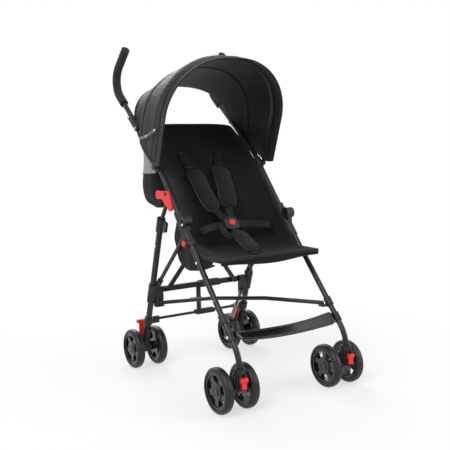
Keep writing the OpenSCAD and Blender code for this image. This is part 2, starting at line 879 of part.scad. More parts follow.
module fold_latch() {
    x = half_track + tube_r + side_fit + latch_t/2;
    tail = link_top - latch_tail*lean_dir - tube_r*ahead_dir;
    color([0.85, 0.1, 0.08])
        side(-1)
            difference() {
                union() {
                    plate(x, latch_t)
                        polygon([
                            link_top + tube_r*[-1, 1],
                            link_top + [latch_arm, latch_t],
                            link_top + [latch_arm, -2*latch_t],
                            link_top + [latch_arm/2, -2*latch_t],
                            tail - tube_r*ahead_dir,
                            tail + tube_r*ahead_dir
                        ]);
                    across(x, link_top, tube_r + over, latch_t);
                    across(x, tail, tube_r + over, latch_t);
                    across(x, link_top + [latch_arm, -latch_t/2], latch_end_share*latch_t + over, latch_t);
                }
                across(x, link_top, latch_pin_r + run_fit, 2*latch_t);
            }
}

// Swivel housing, arm back to the axle boss, and the seat of the swivel lock in front
module caster(s) {
    front = swivel_y - swivel_r;
    color([0.09, 0.09, 0.1])
        side(s)
            difference() {
                union() {
                    translate(at(half_track, [swivel_y, swivel_floor]))
                        cylinder(h = swivel_top - swivel_floor, r = swivel_r);
                    across(half_track, [front_y, wheel_r], boss_r, boss_w);
                    plate(half_track, boss_w - 2*caster_wall)
                        polygon([
                            [swivel_y, swivel_floor], [front, swivel_floor],
                            [front, swivel_top - stub_drop], [swivel_y, swivel_top - tube_r],
                            [front_y, wheel_r + boss_r], [front_y, wheel_r - boss_r],
                            [front_y - boss_r, wheel_r - boss_r/2]
                        ]);
                    translate([half_track - boss_w/2 + caster_wall, front, swivel_floor])
                        cube([boss_w - 2*caster_wall, swivel_r, lock_h + lock_travel]);
                }
                translate(at(half_track, [swivel_y, stub_top - stub_drop - over]))
                    cylinder(h = stub_rise + stub_drop, r = tube_r + run_fit);
                translate(at(half_track, [swivel_y, stub_top - over]))
                    cylinder(h = swivel_cap + 2*over, r = tube_r + 2*over);
                across(half_track, [front_y, wheel_r], axle_r + run_fit, boss_w + 2*over);
                translate([half_track - lock_rib_w/2 - run_fit, front - over, swivel_floor - over])
                    cube([lock_rib_w + 2*run_fit, lock_rib_t + over + run_fit, lock_h + lock_travel + 2*over]);
            }
}

module swivel_lock(s) {
    front = swivel_y - swivel_r;
    color([0.85, 0.1, 0.08])
        side(s) {
            translate([half_track - lock_stem_w/2, front - lock_t - side_fit, swivel_floor])
                cube([lock_stem_w, lock_t, lock_h]);
            translate([half_track - lock_w/2, front - lock_t - side_fit, swivel_floor + lock_h - 2*lock_t])
                cube([lock_w, lock_t, 2*lock_t]);
            translate([half_track - lock_rib_w/2, front - lock_t/2, swivel_floor])
                cube([lock_rib_w, lock_rib_t + lock_t/2 - side_fit, lock_h]);
            translate([half_track - lock_w/2, front - lock_t - side_fit, swivel_floor + lock_h - lock_t])
                rotate([0, 90, 0])
                    cylinder(h = lock_w, r = lock_t/2);
        }
}

module axle(s, y) {
    color([0.6, 0.6, 0.62])
        side(s)
            across(half_track, [y, wheel_r], axle_r, pair_gap + 2*cap_t);
}

// Both wheels of a pair: a web of spokes between the hub and the rim
module rims(s, y) {
    inner = pair_gap/2 - boss_w/2 - side_fit;
    color([0.06, 0.06, 0.07])
        side(s)
            for (way = [-1, 1])
                translate([half_track + way*pair_gap/2, y, wheel_r])
                    rotate([0, way*90, 0])
                        difference() {
                            rotate_extrude() {
                                translate([rim_r - rim_wall, -rim_w/2])
                                    square([rim_wall, rim_w]);
                                translate([hub_r - over, -web_w/2])
                                    square([rim_r - rim_wall - hub_r + 2*over, web_w]);
                                translate([0, -inner])
                                    square([hub_r, inner + hub_out]);
                                square([face_r, hub_out - 2*over]);
                            }
                            translate([0, 0, -inner - over])
                                cylinder(h = inner + over + 2*cap_t, r = axle_r + run_fit);
                            translate([0, 0, -web_w])
                                linear_extrude(2*web_w)
                                    difference() {
                                        circle(rim_r - rim_wall - pocket_edge);
                                        circle(face_r + pocket_edge);
                                        for (k = [0:spokes - 1])
                                            rotate(k*360/spokes)
                                                translate([0, -spoke_w/2])
                                                    square([rim_r, spoke_w]);
                                    }
                            translate([0, 0, hub_out - over])
                                difference() {
                                    cylinder(h = 2*over, r = hub_r - cap_t);
                                    cylinder(h = 2*over, r = hub_r - 2*cap_t);
                                }
                        }
}

module tyres(s, y) {
    color([0.05, 0.05, 0.055])
        side(s)
            for (way = [-1, 1])
                translate([half_track + way*pair_gap/2, y, wheel_r])
                    rotate([0, 90, 0])
                        rotate_extrude()
                            intersection() {
                                translate([rim_r, -tyre_w])
                                    square([2*tyre_depth, 2*tyre_w]);
                                union() {
                                    translate([rim_r, -tyre_w/2 + shoulder_r])
                                        square([tyre_depth, tyre_w - 2*shoulder_r]);
                                    for (edge = [-1, 1])
                                        translate([wheel_r - shoulder_r, edge*(tyre_w/2 - shoulder_r)])
                                            circle(shoulder_r);
                                }
                            }
}

// Socket on the foot of the rear leg, axle boss and the ears of the brake lever
module rear_housing(s) {
    pivot = axle_rear + [brake_back, brake_up];
    color([0.09, 0.09, 0.1])
        side(s) {
            difference() {
                union() {
                    across(half_track, axle_rear, boss_r, boss_w);
                    run(at(half_track, axle_rear), at(half_track, axle_rear - housing_len*leg_dir), housing_r);
                    for (way = [-1, 1]) {
                        plate(half_track + way*(brake_w/2 + side_fit + ear_t/2), ear_t)
                            polygon([
                                pivot + [ear_r - over, 0], pivot - [2*ear_r, 0],
                                axle_rear - [boss_r/2, 0], axle_rear + [boss_r - 2*over, 0]
                            ]);
                        across(half_track + way*(brake_w/2 + side_fit + ear_t/2), pivot, ear_r, ear_t);
                    }
                }
                run(at(half_track, axle_rear - leg_end_gap*leg_dir), at(half_track, collar),
                    rear_tube_r + run_fit);
                across(half_track, axle_rear, axle_r + run_fit, 2*boss_w);
            }
            across(half_track, pivot, brake_pin_r, brake_w + 2*side_fit + 2*ear_t + 2*over);
        }
}

module brake_lever(s) {
    pivot = axle_rear + [brake_back, brake_up];
    color([0.85, 0.1, 0.08])
        side(s)
            difference() {
                union() {
                    across(half_track, pivot, brake_eye_r, brake_w);
                    translate(at(half_track - brake_w/2, pivot - [brake_t/2, 0]))
                        cube([brake_w, brake_t, brake_h]);
                    translate(at(half_track - brake_stem_w/2, pivot + [-brake_t/2, ear_r + over]))
                        cube([brake_stem_w, brake_t, brake_h - ear_r - over]);
                    translate(at(half_track - brake_top_w/2, pivot + [-brake_t/2, brake_h - brake_top_h]))
                        cube([brake_top_w, brake_lip_share*brake_t, brake_top_h]);
                }
                across(half_track, pivot, brake_pin_r + run_fit, 2*brake_w);
            }
}

// Outline of the bow with its corners, standing in x and z
module bow_outline(x, rise, corner) {
    translate([-x, 0])
        square([2*x, rise - corner]);
    translate([-x + corner, 0])
        square([2*(x - corner), rise]);
    for (way = [-1, 1])
        translate([way*(x - corner), rise - corner])
            intersection() {
                circle(corner);
                translate([-corner, -over])
                    square([2*corner, corner + over]);
            }
}

module canopy_bow() {
    color([0.1, 0.1, 0.11])
        translate(at(0, hinge))
            rotate([bow_lean, 0, 0])
                difference() {
                    union() {
                        translate([0, bow_w/2, 0])
                            rotate([90, 0, 0])
                                linear_extrude(bow_w)
                                    difference() {
                                        bow_outline(bow_x + bow_t/2, bow_rise, bow_corner_r);
                                        translate([0, -over])
                                            bow_outline(bow_x - bow_t/2, bow_rise - bow_t + over,
                                                bow_corner_r - bow_t);
                                    }
                        for (way = [-1, 1])
                            across(way*bow_x, [0, 0], bow_eye_r, bow_t);
                    }
                    for (way = [-1, 1])
                        across(way*bow_x, [0, 0], bow_pin_r + run_fit, 2*bow_t);
                }
}

// A place on the canopy cover: t runs from the rear arch to the bow, across its width and over the visor,
// u runs from side to side along the legs, the corners and the top of the bow's own outline
function cover_place(t, u, inset) =
    let (
        bow_up = [-sin(bow_lean), cos(bow_lean)],
        bow_back = [cos(bow_lean), sin(bow_lean)],
        w = cover_x - inset,
        rise = bow_rise + side_fit + cover_ease + cover_t - inset,
        corner = bow_corner_r + side_fit + cover_ease + cover_t - inset,
        turn = 90*min(1, max(0, (1 - abs(u) - cover_leg_share)/(1 - cover_leg_share - cover_top_share))),
        leg = max(0, 1 - (1 - abs(u))/cover_leg_share),
        across_share = abs(u) < cover_top_share ? abs(u)/cover_top_share : 1,
        arch = 90*(1 - abs(u)),
        h = rise - corner*(1 - sin(turn)) - leg*(rise - corner - cover_hem),
        k = h/rise,
        back = min(t, 1),
        x = mix((cover_rear_x - inset)*cos(arch), (w - corner*(1 - cos(turn)))*across_share, back),
        rear_foot = hinge + cover_rear*up_dir,
        rear_top = rear_foot + [cover_rear_back, cover_rear_rise - inset],
        edge = (bow_w/2 + cover_ease)*(1 - 2*min(1, max(0, t - 1))),
        place = mix(mix(rear_foot, rear_top, sin(arch)), hinge + h*bow_up + edge*bow_back, back),
        crown = cover_crown*sin(180*back)*k,
        lip = max(0, t - 2)*visor
    )
    at(sign(u)*x, place + [-lip, crown - visor_droop_share*lip*k]);

module canopy_cover() {
    steps = concat([for (i = [0:cover_rows]) i/cover_rows], [2, 2 + 1/2, 3]);
    color([0.05, 0.05, 0.06])
        sheet(
            [for (t = steps) [for (j = [0:cover_cols]) cover_place(t, 2*j/cover_cols - 1, 0)]],
            [for (t = steps) [for (j = [0:cover_cols]) cover_place(t, 2*j/cover_cols - 1, cover_t)]]
        );
}

// A row of the seat sling: flat in the middle and drawn up to the tubes at its sides
function seat_row(i, depth) =
    let (
        last = len(seat_shares) - 1,
        before = seat_shares[max(i - 1, 0)][0],
        after = seat_shares[min(i + 1, last)][0],
        way = unit(after - before),
        back = depth*[way[1], -way[0]]
    )
    [for (j = [0:seat_cols])
        let (v = 2*j/seat_cols - 1)
        at(v*seat_w/2, knuckle + back + seat_reach*mix(seat_shares[i][0], seat_shares[i][1], pow(abs(v), edge_power)))];

module seat_sling() {
    color([0.05, 0.05, 0.06])
        sheet(
            [for (i = [0:len(seat_shares) - 1]) seat_row(i, 0)],
            [for (i = [0:len(seat_shares) - 1]) seat_row(i, seat_t)]
        );
}

// Outline of the bag in y and z, with its wall taken off where it is hollow
module bag_outline(inset, lift) {
    polygon(concat(
        [bag_foot + inset*[1, 1], bag_top + [inset, lift]],
        [for (q = bag_shares)
            mix(bag_foot, bag_top, q[0]) + [q[1]*bag_depth - inset, q[0] == 1 ? lift : q[0] == 0 ? inset : 0]],
        [bag_foot + [bag_sag_shares[0]*bag_depth, inset - bag_sag_shares[1]*bag_depth]]
    ));
}

module storage_bag() {
    color([0.06, 0.06, 0.07])
        difference() {
            plate(0, bag_w)
                bag_outline(0, 0);
            plate(0, bag_w - 2*bag_t)
                bag_outline(bag_t, over);
        }
}

// Draws in the plane of the shoulder straps, with its origin in the buckle and its z up the seat back
module strap_plane() {
    translate(at(0, buckle))
        rotate([-strap_tilt, 0, 0])
            children();
}

module harness_straps() {
    foot = [strap_gap_share*strap_w, buckle_h/2 + side_fit + strap_w/2];
    top = [strap_top_x, strap_len - strap_w/2];
    crotch_len = norm(crotch_foot - buckle) - buckle_h/2 - buckle_t/2;
    crotch_tilt = atan2(buckle[0] - crotch_foot[0], buckle[1] - crotch_foot[1]);
    color([0.07, 0.07, 0.08]) {
        strap_plane()
            for (way = [-1, 1])
                side(way) {
                    strap_bar(foot, top, strap_w, strap_t);
                    translate([buckle_w/2 + side_fit + strap_w*sin(waist_fall)/2, 0, 0])
                        rotate([0, waist_fall, waist_turn])
                            translate([0, -strap_t/2, -strap_w/2])
                                cube([waist_len, strap_t, strap_w]);
                }
        translate(at(0, crotch_foot))
            rotate([-crotch_tilt, 0, 0])
                translate([-strap_w/2, -strap_t/2, 0])
                    cube([strap_w, strap_t, crotch_len]);
    }
}

module harness_pads() {
    foot = [strap_gap_share*strap_w, buckle_h/2 + side_fit + strap_w/2];
    top = [strap_top_x, strap_len - strap_w/2];
    color([0.06, 0.06, 0.07])
        strap_plane()
            for (way = [-1, 1])
                side(way)
                    translate([0, -pad_t/2 - strap_t/2 - side_fit, 0])
                        strap_bar(mix(foot, top, pad_start_share), mix(foot, top, pad_end_share), pad_w, pad_t);
}

module harness_buckle() {
    color([0.05, 0.05, 0.06])
        strap_plane()
            difference() {
                union() {
                    translate([-buckle_w/2 + strap_t, -buckle_t/2, -buckle_h/2])
                        cube([buckle_w - 2*strap_t, buckle_t, buckle_h]);
                    translate([-buckle_w/2, -buckle_t/4, -buckle_h/3])
                        cube([buckle_w, buckle_t/2, 2*buckle_h/3]);
                }
                along(0, -buckle_t, -buckle_t/2 + release_t + release_travel, 0, release_r + run_fit);
            }
}

module buckle_button() {
    color([0.85, 0.1, 0.08])
        strap_plane()
            along(0, -buckle_t/2 - release_t/2 + release_travel/2,
                -buckle_t/2 + release_t, 0, release_r);
}

front_leg(-1);  // front_leg_right
front_leg(1);  // front_leg_left
handle_tube(-1);  // handle_tube_right
handle_tube(1);  // handle_tube_left
knuckle_block(-1, true);  // knuckle_right
knuckle_block(1, false);  // knuckle_left
rear_link(-1);  // rear_link_right
rear_link(1);  // rear_link_left
rear_leg(-1);  // rear_leg_right
rear_leg(1);  // rear_leg_left
side_strut(-1);  // side_strut_right
side_strut(1);  // side_strut_left
grip(-1);  // grip_right
grip(1);  // grip_left
rear_bracket(-1);  // rear_bracket_right
rear_bracket(1);  // rear_bracket_left
canopy_hinge(-1);  // canopy_hinge_right
canopy_hinge(1);  // canopy_hinge_left
foot_bracket(-1);  // foot_bracket_right
foot_bracket(1);  // foot_bracket_left
cross_bar(-1, bar_lift);  // cross_bar_right
cross_bar(1, 0);  // cross_bar_left
back_brace(-1);  // back_brace_right
back_brace(1);  // back_brace_left
rear_brace(-1);  // rear_brace_right
rear_brace(1);  // rear_brace_left
lower_rod(-1);  // lower_rod_right
lower_rod(1);  // lower_rod_left
centre_link();
fold_latch();
frame_button();
footrest();
caster(-1);  // caster_right
caster(1);  // caster_left
swivel_lock(-1);  // swivel_lock_right
swivel_lock(1);  // swivel_lock_left
axle(-1, front_y);  // front_axle_right
axle(1, front_y);  // front_axle_left
rims(-1, front_y);  // front_rims_right
rims(1, front_y);  // front_rims_left
tyres(-1, front_y);  // front_tyres_right
tyres(1, front_y);  // front_tyres_left
rear_housing(-1);  // rear_housing_right
rear_housing(1);  // rear_housing_left
brake_lever(-1);  // brake_lever_right
brake_lever(1);  // brake_lever_left
axle(-1, rear_y);  // rear_axle_right
axle(1, rear_y);  // rear_axle_left
rims(-1, rear_y);  // rear_rims_right
rims(1, rear_y);  // rear_rims_left
tyres(-1, rear_y);  // rear_tyres_right
tyres(1, rear_y);  // rear_tyres_left
canopy_bow();
canopy_cover();
seat_sling();
storage_bag();
harness_straps();
harness_pads();
harness_buckle();
buckle_button();
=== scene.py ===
# %% [markdown]
# # An umbrella stroller, dressed
# The frame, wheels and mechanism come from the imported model. This lesson adds what a solid modeller is
# poor at: the sling seat, the canopy, the bag, the harness, the rivets and every finish.
# All lengths are metres, +Z is up, the stroller faces -Y and its left side is at +X.

# %% Load the frame
import json
import math
import bpy
import bmesh
import numpy as np
from mathutils import Matrix, Vector


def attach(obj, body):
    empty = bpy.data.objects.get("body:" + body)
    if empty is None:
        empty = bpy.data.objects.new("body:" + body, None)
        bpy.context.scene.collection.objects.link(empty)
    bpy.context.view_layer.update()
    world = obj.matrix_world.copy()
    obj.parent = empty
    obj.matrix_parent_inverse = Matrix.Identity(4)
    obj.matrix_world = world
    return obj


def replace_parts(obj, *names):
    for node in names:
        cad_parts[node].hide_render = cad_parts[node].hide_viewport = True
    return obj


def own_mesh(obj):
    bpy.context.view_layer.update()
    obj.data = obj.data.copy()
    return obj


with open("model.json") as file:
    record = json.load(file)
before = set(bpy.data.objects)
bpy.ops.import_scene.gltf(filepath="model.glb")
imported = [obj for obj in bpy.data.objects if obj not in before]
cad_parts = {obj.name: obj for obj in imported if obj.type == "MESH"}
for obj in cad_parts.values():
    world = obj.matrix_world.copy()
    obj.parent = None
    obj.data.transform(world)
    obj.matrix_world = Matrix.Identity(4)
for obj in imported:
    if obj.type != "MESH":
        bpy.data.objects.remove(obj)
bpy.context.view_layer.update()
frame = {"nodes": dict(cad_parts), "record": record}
nodes = frame["nodes"]

# %% [markdown]
# ## Places on the frame
# The soft pieces hang between points of the frame, so those points come first. They could be read from
# the nodes' boxes, but a box has no knowledge of a tube's axis, so the points are written down here as
# (y, z) pairs in the plane of a side frame. Pieces that come in pairs are made in a loop over both sides.

# %% Places and directions
SIDES = (("right", -1), ("left", 1))
HALF_TRACK = 0.183
KNUCKLE = np.array([-0.06639, 0.47910])
HINGE = np.array([0.06899, 0.64869])
BUCKLE = np.array([-0.03839, 0.46910])
HANDLE_LEAN = math.radians(50.0)
UP_HANDLE = np.array([math.sin(HANDLE_LEAN), math.cos(HANDLE_LEAN)])
print("knuckle", KNUCKLE, "hinge", HINGE)

# %% [markdown]
# ## Tools for surfaces
# Every new piece is a grid of points (a cloth panel), a profile carried along a path (a strap, a binding,
# a cord) or a profile turned about an axis (a rivet). A Bezier curve object could do the second, but a
# mesh made from whole arrays keeps its own UV map in metres, and a weave drawn on that map follows the
# piece round its bends.


# %% Curves through points
def smooth_path(points, count, by=None):
    """A curve through the points. Between two of them runs a cubic that leaves and arrives with the mean
    slope of its neighbours: (2t3-3t2+1)p + (t3-2t2+t)m + (3t2-2t3)q + (t3-t2)n."""
    p = np.asarray(points, float)
    shape = p.shape[1:]
    p = p.reshape(len(p), -1)
    s = lengths(p) if by is None else np.asarray(by, float)
    m = np.gradient(p, s, axis=0)
    q = np.linspace(s[0], s[-1], count) if np.isscalar(count) else np.asarray(count, float)
    i = np.clip(np.searchsorted(s, q, side="right") - 1, 0, len(s) - 2)
    h = (s[i + 1] - s[i])[:, None]
    t = (q - s[i])[:, None]/h
    curve = ((2*t**3 - 3*t**2 + 1)*p[i] + (t**3 - 2*t**2 + t)*h*m[i]
             + (3*t**2 - 2*t**3)*p[i + 1] + (t**3 - t**2)*h*m[i + 1])
    return curve.reshape((-1,) + shape)


def unit(v):
    """Vectors of length one along the last axis."""
    return v/np.maximum(np.linalg.norm(v, axis=-1, keepdims=True), 1e-12)


def lengths(path):
    """Distance from the start of a path to each of its points."""
    return np.r_[0, np.cumsum(np.linalg.norm(np.diff(path, axis=0), axis=1))]


def at(x, yz):
    """Points from x and (y, z) pairs."""
    yz = np.asarray(yz, float)
    return np.concatenate([np.broadcast_to(np.asarray(x, float)[..., None], yz.shape[:-1] + (1,)), yz], -1)


print("curve tools ready, a 3-4-5 triangle gives", lengths(np.array([[0, 0], [3, 4]]))[-1])


# %% Faces and borders of grids
def grid_quads(rows, cols, first=0, wrap_rows=False, wrap_cols=False):
    """Corner numbers of the quads between neighbouring grid points, row by row."""
    i = np.arange(rows if wrap_rows else rows - 1)[:, None]
    j = np.arange(cols if wrap_cols else cols - 1)[None, :]
    i2, j2 = (i + 1) % rows, (j + 1) % cols
    quads = np.stack(np.broadcast_arrays(i*cols + j, i*cols + j2, i2*cols + j2, i2*cols + j), -1)
    return quads.reshape(-1, 4) + first


def fan(tip, ring, turn=1):
    """Triangles from one point to the neighbours on a closed ring, all as point numbers. A turn of -1 lists
    the neighbours the other way round."""
    return np.stack([np.full(len(ring), tip), *(np.roll(ring, -1), ring)[::turn]], -1).tolist()


def border_of(grid):
    """Once round the edge of a grid: first row, last column, last row backwards, first column upwards."""
    return np.concatenate([grid[0, :], grid[1:, -1], grid[-1, -2::-1], grid[-2:0:-1, 0]])


def run(grid, axis):
    """Distance along the columns (axis 0) or the rows (axis 1) of a grid, from the first point to each."""
    steps = np.linalg.norm(np.diff(grid, axis=axis), axis=2)
    return np.insert(np.cumsum(steps, axis=axis), 0, 0.0, axis=axis)


def grid_normals(grid):
    """Normals of a grid of points: the cross product of the steps along its rows and its columns."""
    return unit(np.cross(np.gradient(grid, axis=0), np.gradient(grid, axis=1)))


print("a grid of 3 by 4 points has", len(grid_quads(3, 4)), "quads")


# %% A mesh from arrays
def make_piece(name, points, faces, finish, uv):
    """A smooth mesh object from points and faces, its normals turned outwards, its UV map in metres."""
    mesh = bpy.data.meshes.new(name)
    mesh.from_pydata(np.asarray(points, float).reshape(-1, 3).tolist(), [], faces)
    corner = np.zeros(len(mesh.loops), np.int32)
    mesh.loops.foreach_get("vertex_index", corner)
    layer = mesh.uv_layers.new(name="UVMap")
    layer.data.foreach_set("uv", np.asarray(uv, np.float32).reshape(-1, 2)[corner].ravel())
    work = bmesh.new()
    work.from_mesh(mesh)
    bmesh.ops.recalc_face_normals(work, faces=work.faces)
    work.to_mesh(mesh)
    work.free()
    mesh.polygons.foreach_set("use_smooth", np.full(len(mesh.polygons), True))
    mesh.materials.append(finish)
    mesh.update()
    piece = bpy.data.objects.new(name, mesh)
    bpy.context.scene.collection.objects.link(piece)
    return piece


print("mesh tool ready")

# %% [markdown]
# ### Cloth panels
# Real cloth has two faces and a turned edge. A Solidify modifier could thicken a grid, but its rim is
# square, so a panel is closed here: two faces, and a ring of points round the border that rounds the edge.


# %% Cloth panels
def cloth_panel(name, grid, thickness, finish, away=1.0):
    """A closed thin panel: the grid, the same grid moved back along its normals by the thickness, and a
    rounded edge whose middle stands half the thickness outside the border. Away -1 turns the normals."""
    rows, cols, _ = grid.shape
    normal = grid_normals(grid)*away
    back = grid - thickness*normal
    over = run(grid, 1)
    uv = np.stack([over - over[:, -1:]/2, run(grid, 0)], -1).reshape(-1, 2)
    i = border_of(np.arange(rows*cols).reshape(rows, cols))
    middle = (grid + back).reshape(-1, 3)[i]/2
    inner = np.clip(np.stack([i//cols, i % cols], -1), 1, [rows - 2, cols - 2])
    middle = middle + thickness/2*unit(grid[i//cols, i % cols] - grid[inner[:, 0], inner[:, 1]])
    points = np.concatenate([grid.reshape(-1, 3), back.reshape(-1, 3), middle])
    uvs = np.concatenate([uv, uv, uv[i]])
    ring = 2*rows*cols + np.arange(len(i))
    n = np.roll(np.arange(len(i)), -1)
    faces = np.concatenate([
        grid_quads(rows, cols), grid_quads(rows, cols, rows*cols)[:, ::-1],
        np.stack([i, i[n], ring[n], ring], -1),
        np.stack([ring, ring[n], i[n] + rows*cols, i + rows*cols], -1)])
    return make_piece(name, points, faces.tolist(), finish, uvs)


print("panel tool ready")

# %% [markdown]
# ### Profiles along a path
# Tapes, cords and straps are one outline carried along a line. A curve object with a bevel does the same,
# but it twists where the line turns, and here each piece says which way its flat side faces.


# %% Outlines and directions
def oval(width, height, count=14, power=2.0):
    """A closed outline between an ellipse (power 2) and a rectangle (high power): signed powers of the
    cosine and sine of the angle."""
    a = np.linspace(0, 2*np.pi, count, endpoint=False) + np.pi/count
    c, s = np.cos(a), np.sin(a)
    return np.stack([width/2*np.sign(c)*np.abs(c)**(2/power), height/2*np.sign(s)*np.abs(s)**(2/power)], -1)


def facing(path, front, closed=False):
    """Side and up directions along a path: the side is square to the path and to the front, and the up is
    square to the side and to the path."""
    way = np.roll(path, -1, axis=0) - np.roll(path, 1, axis=0) if closed else np.gradient(path, axis=0)
    way = unit(way)
    side = unit(np.cross(way, np.broadcast_to(front, path.shape)))
    return side, np.cross(side, way)


print("an oval has", len(oval(1, 1)), "corners")


# %% Profiles carried along a path
def carry(name, path, side, up, profile, finish, closed=False):
    """A profile of (across, up) pairs carried along a path: path + across*side + up*up. An open path has its
    ends closed by fans of triangles."""
    path = np.asarray(path, float)
    side, up = np.broadcast_to(side, path.shape), np.broadcast_to(up, path.shape)
    profile = np.asarray(profile, float)
    profile = profile if profile.ndim == 3 else np.broadcast_to(profile, (len(path),) + profile.shape)
    rows, cols = profile.shape[:2]
    ring = path[:, None] + profile[..., :1]*side[:, None] + profile[..., 1:]*up[:, None]
    around = lengths(np.concatenate([profile[0], profile[0, :1]]))[:-1]
    uv = np.stack(np.broadcast_arrays(around[None, :] - around[-1]/2, lengths(path)[:, None]), -1)
    points, uvs = ring.reshape(-1, 3), uv.reshape(-1, 2)
    faces = grid_quads(rows, cols, 0, closed, True).tolist()
    if not closed:
        points = np.concatenate([points, path[:1], path[-1:]])
        uvs = np.concatenate([uvs, uv[:1, 0], uv[-1:, 0]])
        ends = np.arange(cols)
        faces += fan(rows*cols, ends) + fan(rows*cols + 1, ends + (rows - 1)*cols, -1)
    return make_piece(name, points, faces, finish, uvs)


def cord_along(name, path, width, finish, height=None, front=(1.0, 0.0, 0.0), closed=False):
    """A round or oval cord along a path, its height toward the front."""
    side, up = facing(path, front, closed)
    return carry(name, path, side, up, oval(width, height or width, 10), finish, closed)


print("profile and cord tools ready")

# %% [markdown]
# ## Finishes
# A finish is a small network on the piece's own coordinates. Object coordinates suit mouldings, because
# their grain has no direction, and the UV map in metres suits cloth, because threads follow the panel.
# Numbers that hold all over a surface are set on the shader itself, and only colour, roughness and bump
# are driven by textures.


# %% Network helpers
def start_finish(name, colour, roughness, **sockets):
    """A principled shader with its constants set on its own sockets."""
    finish = bpy.data.materials.new(name)
    finish.use_nodes = True
    tree = finish.node_tree
    shader = tree.nodes["Principled BSDF"]
    shader.inputs["Base Color"].default_value = (*colour, 1)
    shader.inputs["Roughness"].default_value = roughness
    for socket, value in sockets.items():
        shader.inputs[socket.replace("_", " ")].default_value = value
    finish.diffuse_color = (*colour, 1)
    return finish, tree, shader


def add(tree, kind, inputs=None, **settings):
    """A node with its settings and its inputs, each a value or another node's output."""
    made = tree.nodes.new(kind)
    for key, value in settings.items():
        setattr(made, key, value)
    for key, value in (inputs or {}).items():
        if isinstance(value, bpy.types.NodeSocket):
            tree.links.new(value, made.inputs[key])
        else:
            made.inputs[key].default_value = value
    return made


def place(tree, source, scale=(1, 1, 1), turn=(0, 0, 0)):
    """Texture coordinates from the object or the UV map, turned and scaled."""
    inputs = {"Vector": add(tree, "ShaderNodeTexCoord").outputs[source], "Scale": scale, "Rotation": turn}
    return add(tree, "ShaderNodeMapping", inputs).outputs[0]


print("network helpers ready")


# %% Colour, gloss and bump
def tint(tree, shader, factor, dark, light, low=0.3, high=0.7):
    """Base colour that runs from dark to light as the factor rises."""
    ramp = add(tree, "ShaderNodeValToRGB", {"Fac": factor})
    ramp.color_ramp.elements[0].position, ramp.color_ramp.elements[1].position = low, high
    ramp.color_ramp.elements[0].color = (*dark, 1)
    ramp.color_ramp.elements[1].color = (*light, 1)
    tree.links.new(ramp.outputs[0], shader.inputs["Base Color"])


def dull(tree, shader, factor, low, high):
    """Roughness that follows the factor between two ends."""
    spread = add(tree, "ShaderNodeMapRange", {"Value": factor, "To Min": low, "To Max": high}).outputs[0]
    tree.links.new(spread, shader.inputs["Roughness"])


def bump(tree, shader, height, distance, strength, under=None):
    """A bump of that many metres on the shader's normal, on top of another bump if one is given."""
    inputs = {"Height": height, "Distance": distance, "Strength": strength}
    if under is not None:
        inputs["Normal"] = under
    made = add(tree, "ShaderNodeBump", inputs).outputs[0]
    tree.links.new(made, shader.inputs["Normal"])
    return made


print("colour, gloss and bump ready")


# %% Patterns
def clouds(tree, spot, scale, detail):
    """Cloudy noise between zero and one."""
    return add(tree, "ShaderNodeTexNoise", {"Vector": spot, "Scale": scale, "Detail": detail}).outputs["Fac"]


def pores(tree, spot, scale, scatter=1.0):
    """Distance to the middle of the nearest of many scattered cells."""
    inputs = {"Vector": spot, "Scale": scale, "Randomness": scatter}
    return add(tree, "ShaderNodeTexVoronoi", inputs).outputs["Distance"]


def bands(tree, spot, scale, direction="X", wander=0.0):
    """Waves across a direction, between zero and one."""
    inputs = {"Vector": spot, "Scale": scale, "Distortion": wander}
    return add(tree, "ShaderNodeTexWave", inputs, bands_direction=direction).outputs["Fac"]


def combined(tree, one, other, operation):
    """Two numbers made into one."""
    return add(tree, "ShaderNodeMath", {0: one, 1: other}, operation=operation).outputs[0]


print("patterns ready")

# %% [markdown]
# ### Hard finishes
# The tubes are powder coated: an almost black satin with a faint orange peel. The mouldings have the
# fine spark grain of a mould, the wheels are polished, the tyres and the foam are duller.


# %% Powder coat and mouldings
def powder_coat():
    """Satin black with a faint orange peel and slightly worn, paler patches."""
    finish, tree, shader = start_finish("powder_coat", (0.006, 0.006, 0.0065), 0.34, Specular_IOR_Level=0.42)
    spot = place(tree, "Object")
    wear = clouds(tree, spot, 9.0, 4.0)
    tint(tree, shader, wear, (0.004, 0.004, 0.0045), (0.010, 0.010, 0.011))
    dull(tree, shader, wear, 0.26, 0.42)
    bump(tree, shader, clouds(tree, spot, 620.0, 2.0), 0.00012, 0.5)
    return finish


def moulding(name, dark, light, low, high, grain=1400.0, depth=0.0001, **sockets):
    """Moulded plastic: a grain of fine pits, cloudy gloss and a faint mottle in the colour."""
    finish, tree, shader = start_finish(name, light, (low + high)/2, **sockets)
    spot = place(tree, "Object")
    mottle = clouds(tree, spot, 26.0, 5.0)
    tint(tree, shader, mottle, dark, light)
    dull(tree, shader, mottle, low, high)
    bump(tree, shader, pores(tree, spot, grain), depth, 0.5)
    return finish


POWDER = powder_coat()
PLASTIC = moulding("moulded_black", (0.005, 0.005, 0.0055), (0.013, 0.013, 0.014), low=0.40, high=0.56,
                   Specular_IOR_Level=0.4)
GLOSS = moulding("polished_black", (0.004, 0.004, 0.0045), (0.009, 0.009, 0.0095), low=0.14, high=0.26,
                 grain=700.0, depth=0.00003, Coat_Weight=0.25, Coat_Roughness=0.12)
RED = moulding("bright_red", (0.70, 0.010, 0.008), (0.86, 0.022, 0.018), low=0.28, high=0.42, grain=1200.0,
               depth=0.00006)
GREY = moulding("grey_moulding", (0.09, 0.09, 0.095), (0.16, 0.16, 0.165), low=0.36, high=0.5)
print("finishes", [made.name for made in (POWDER, PLASTIC, GLOSS, RED, GREY)])


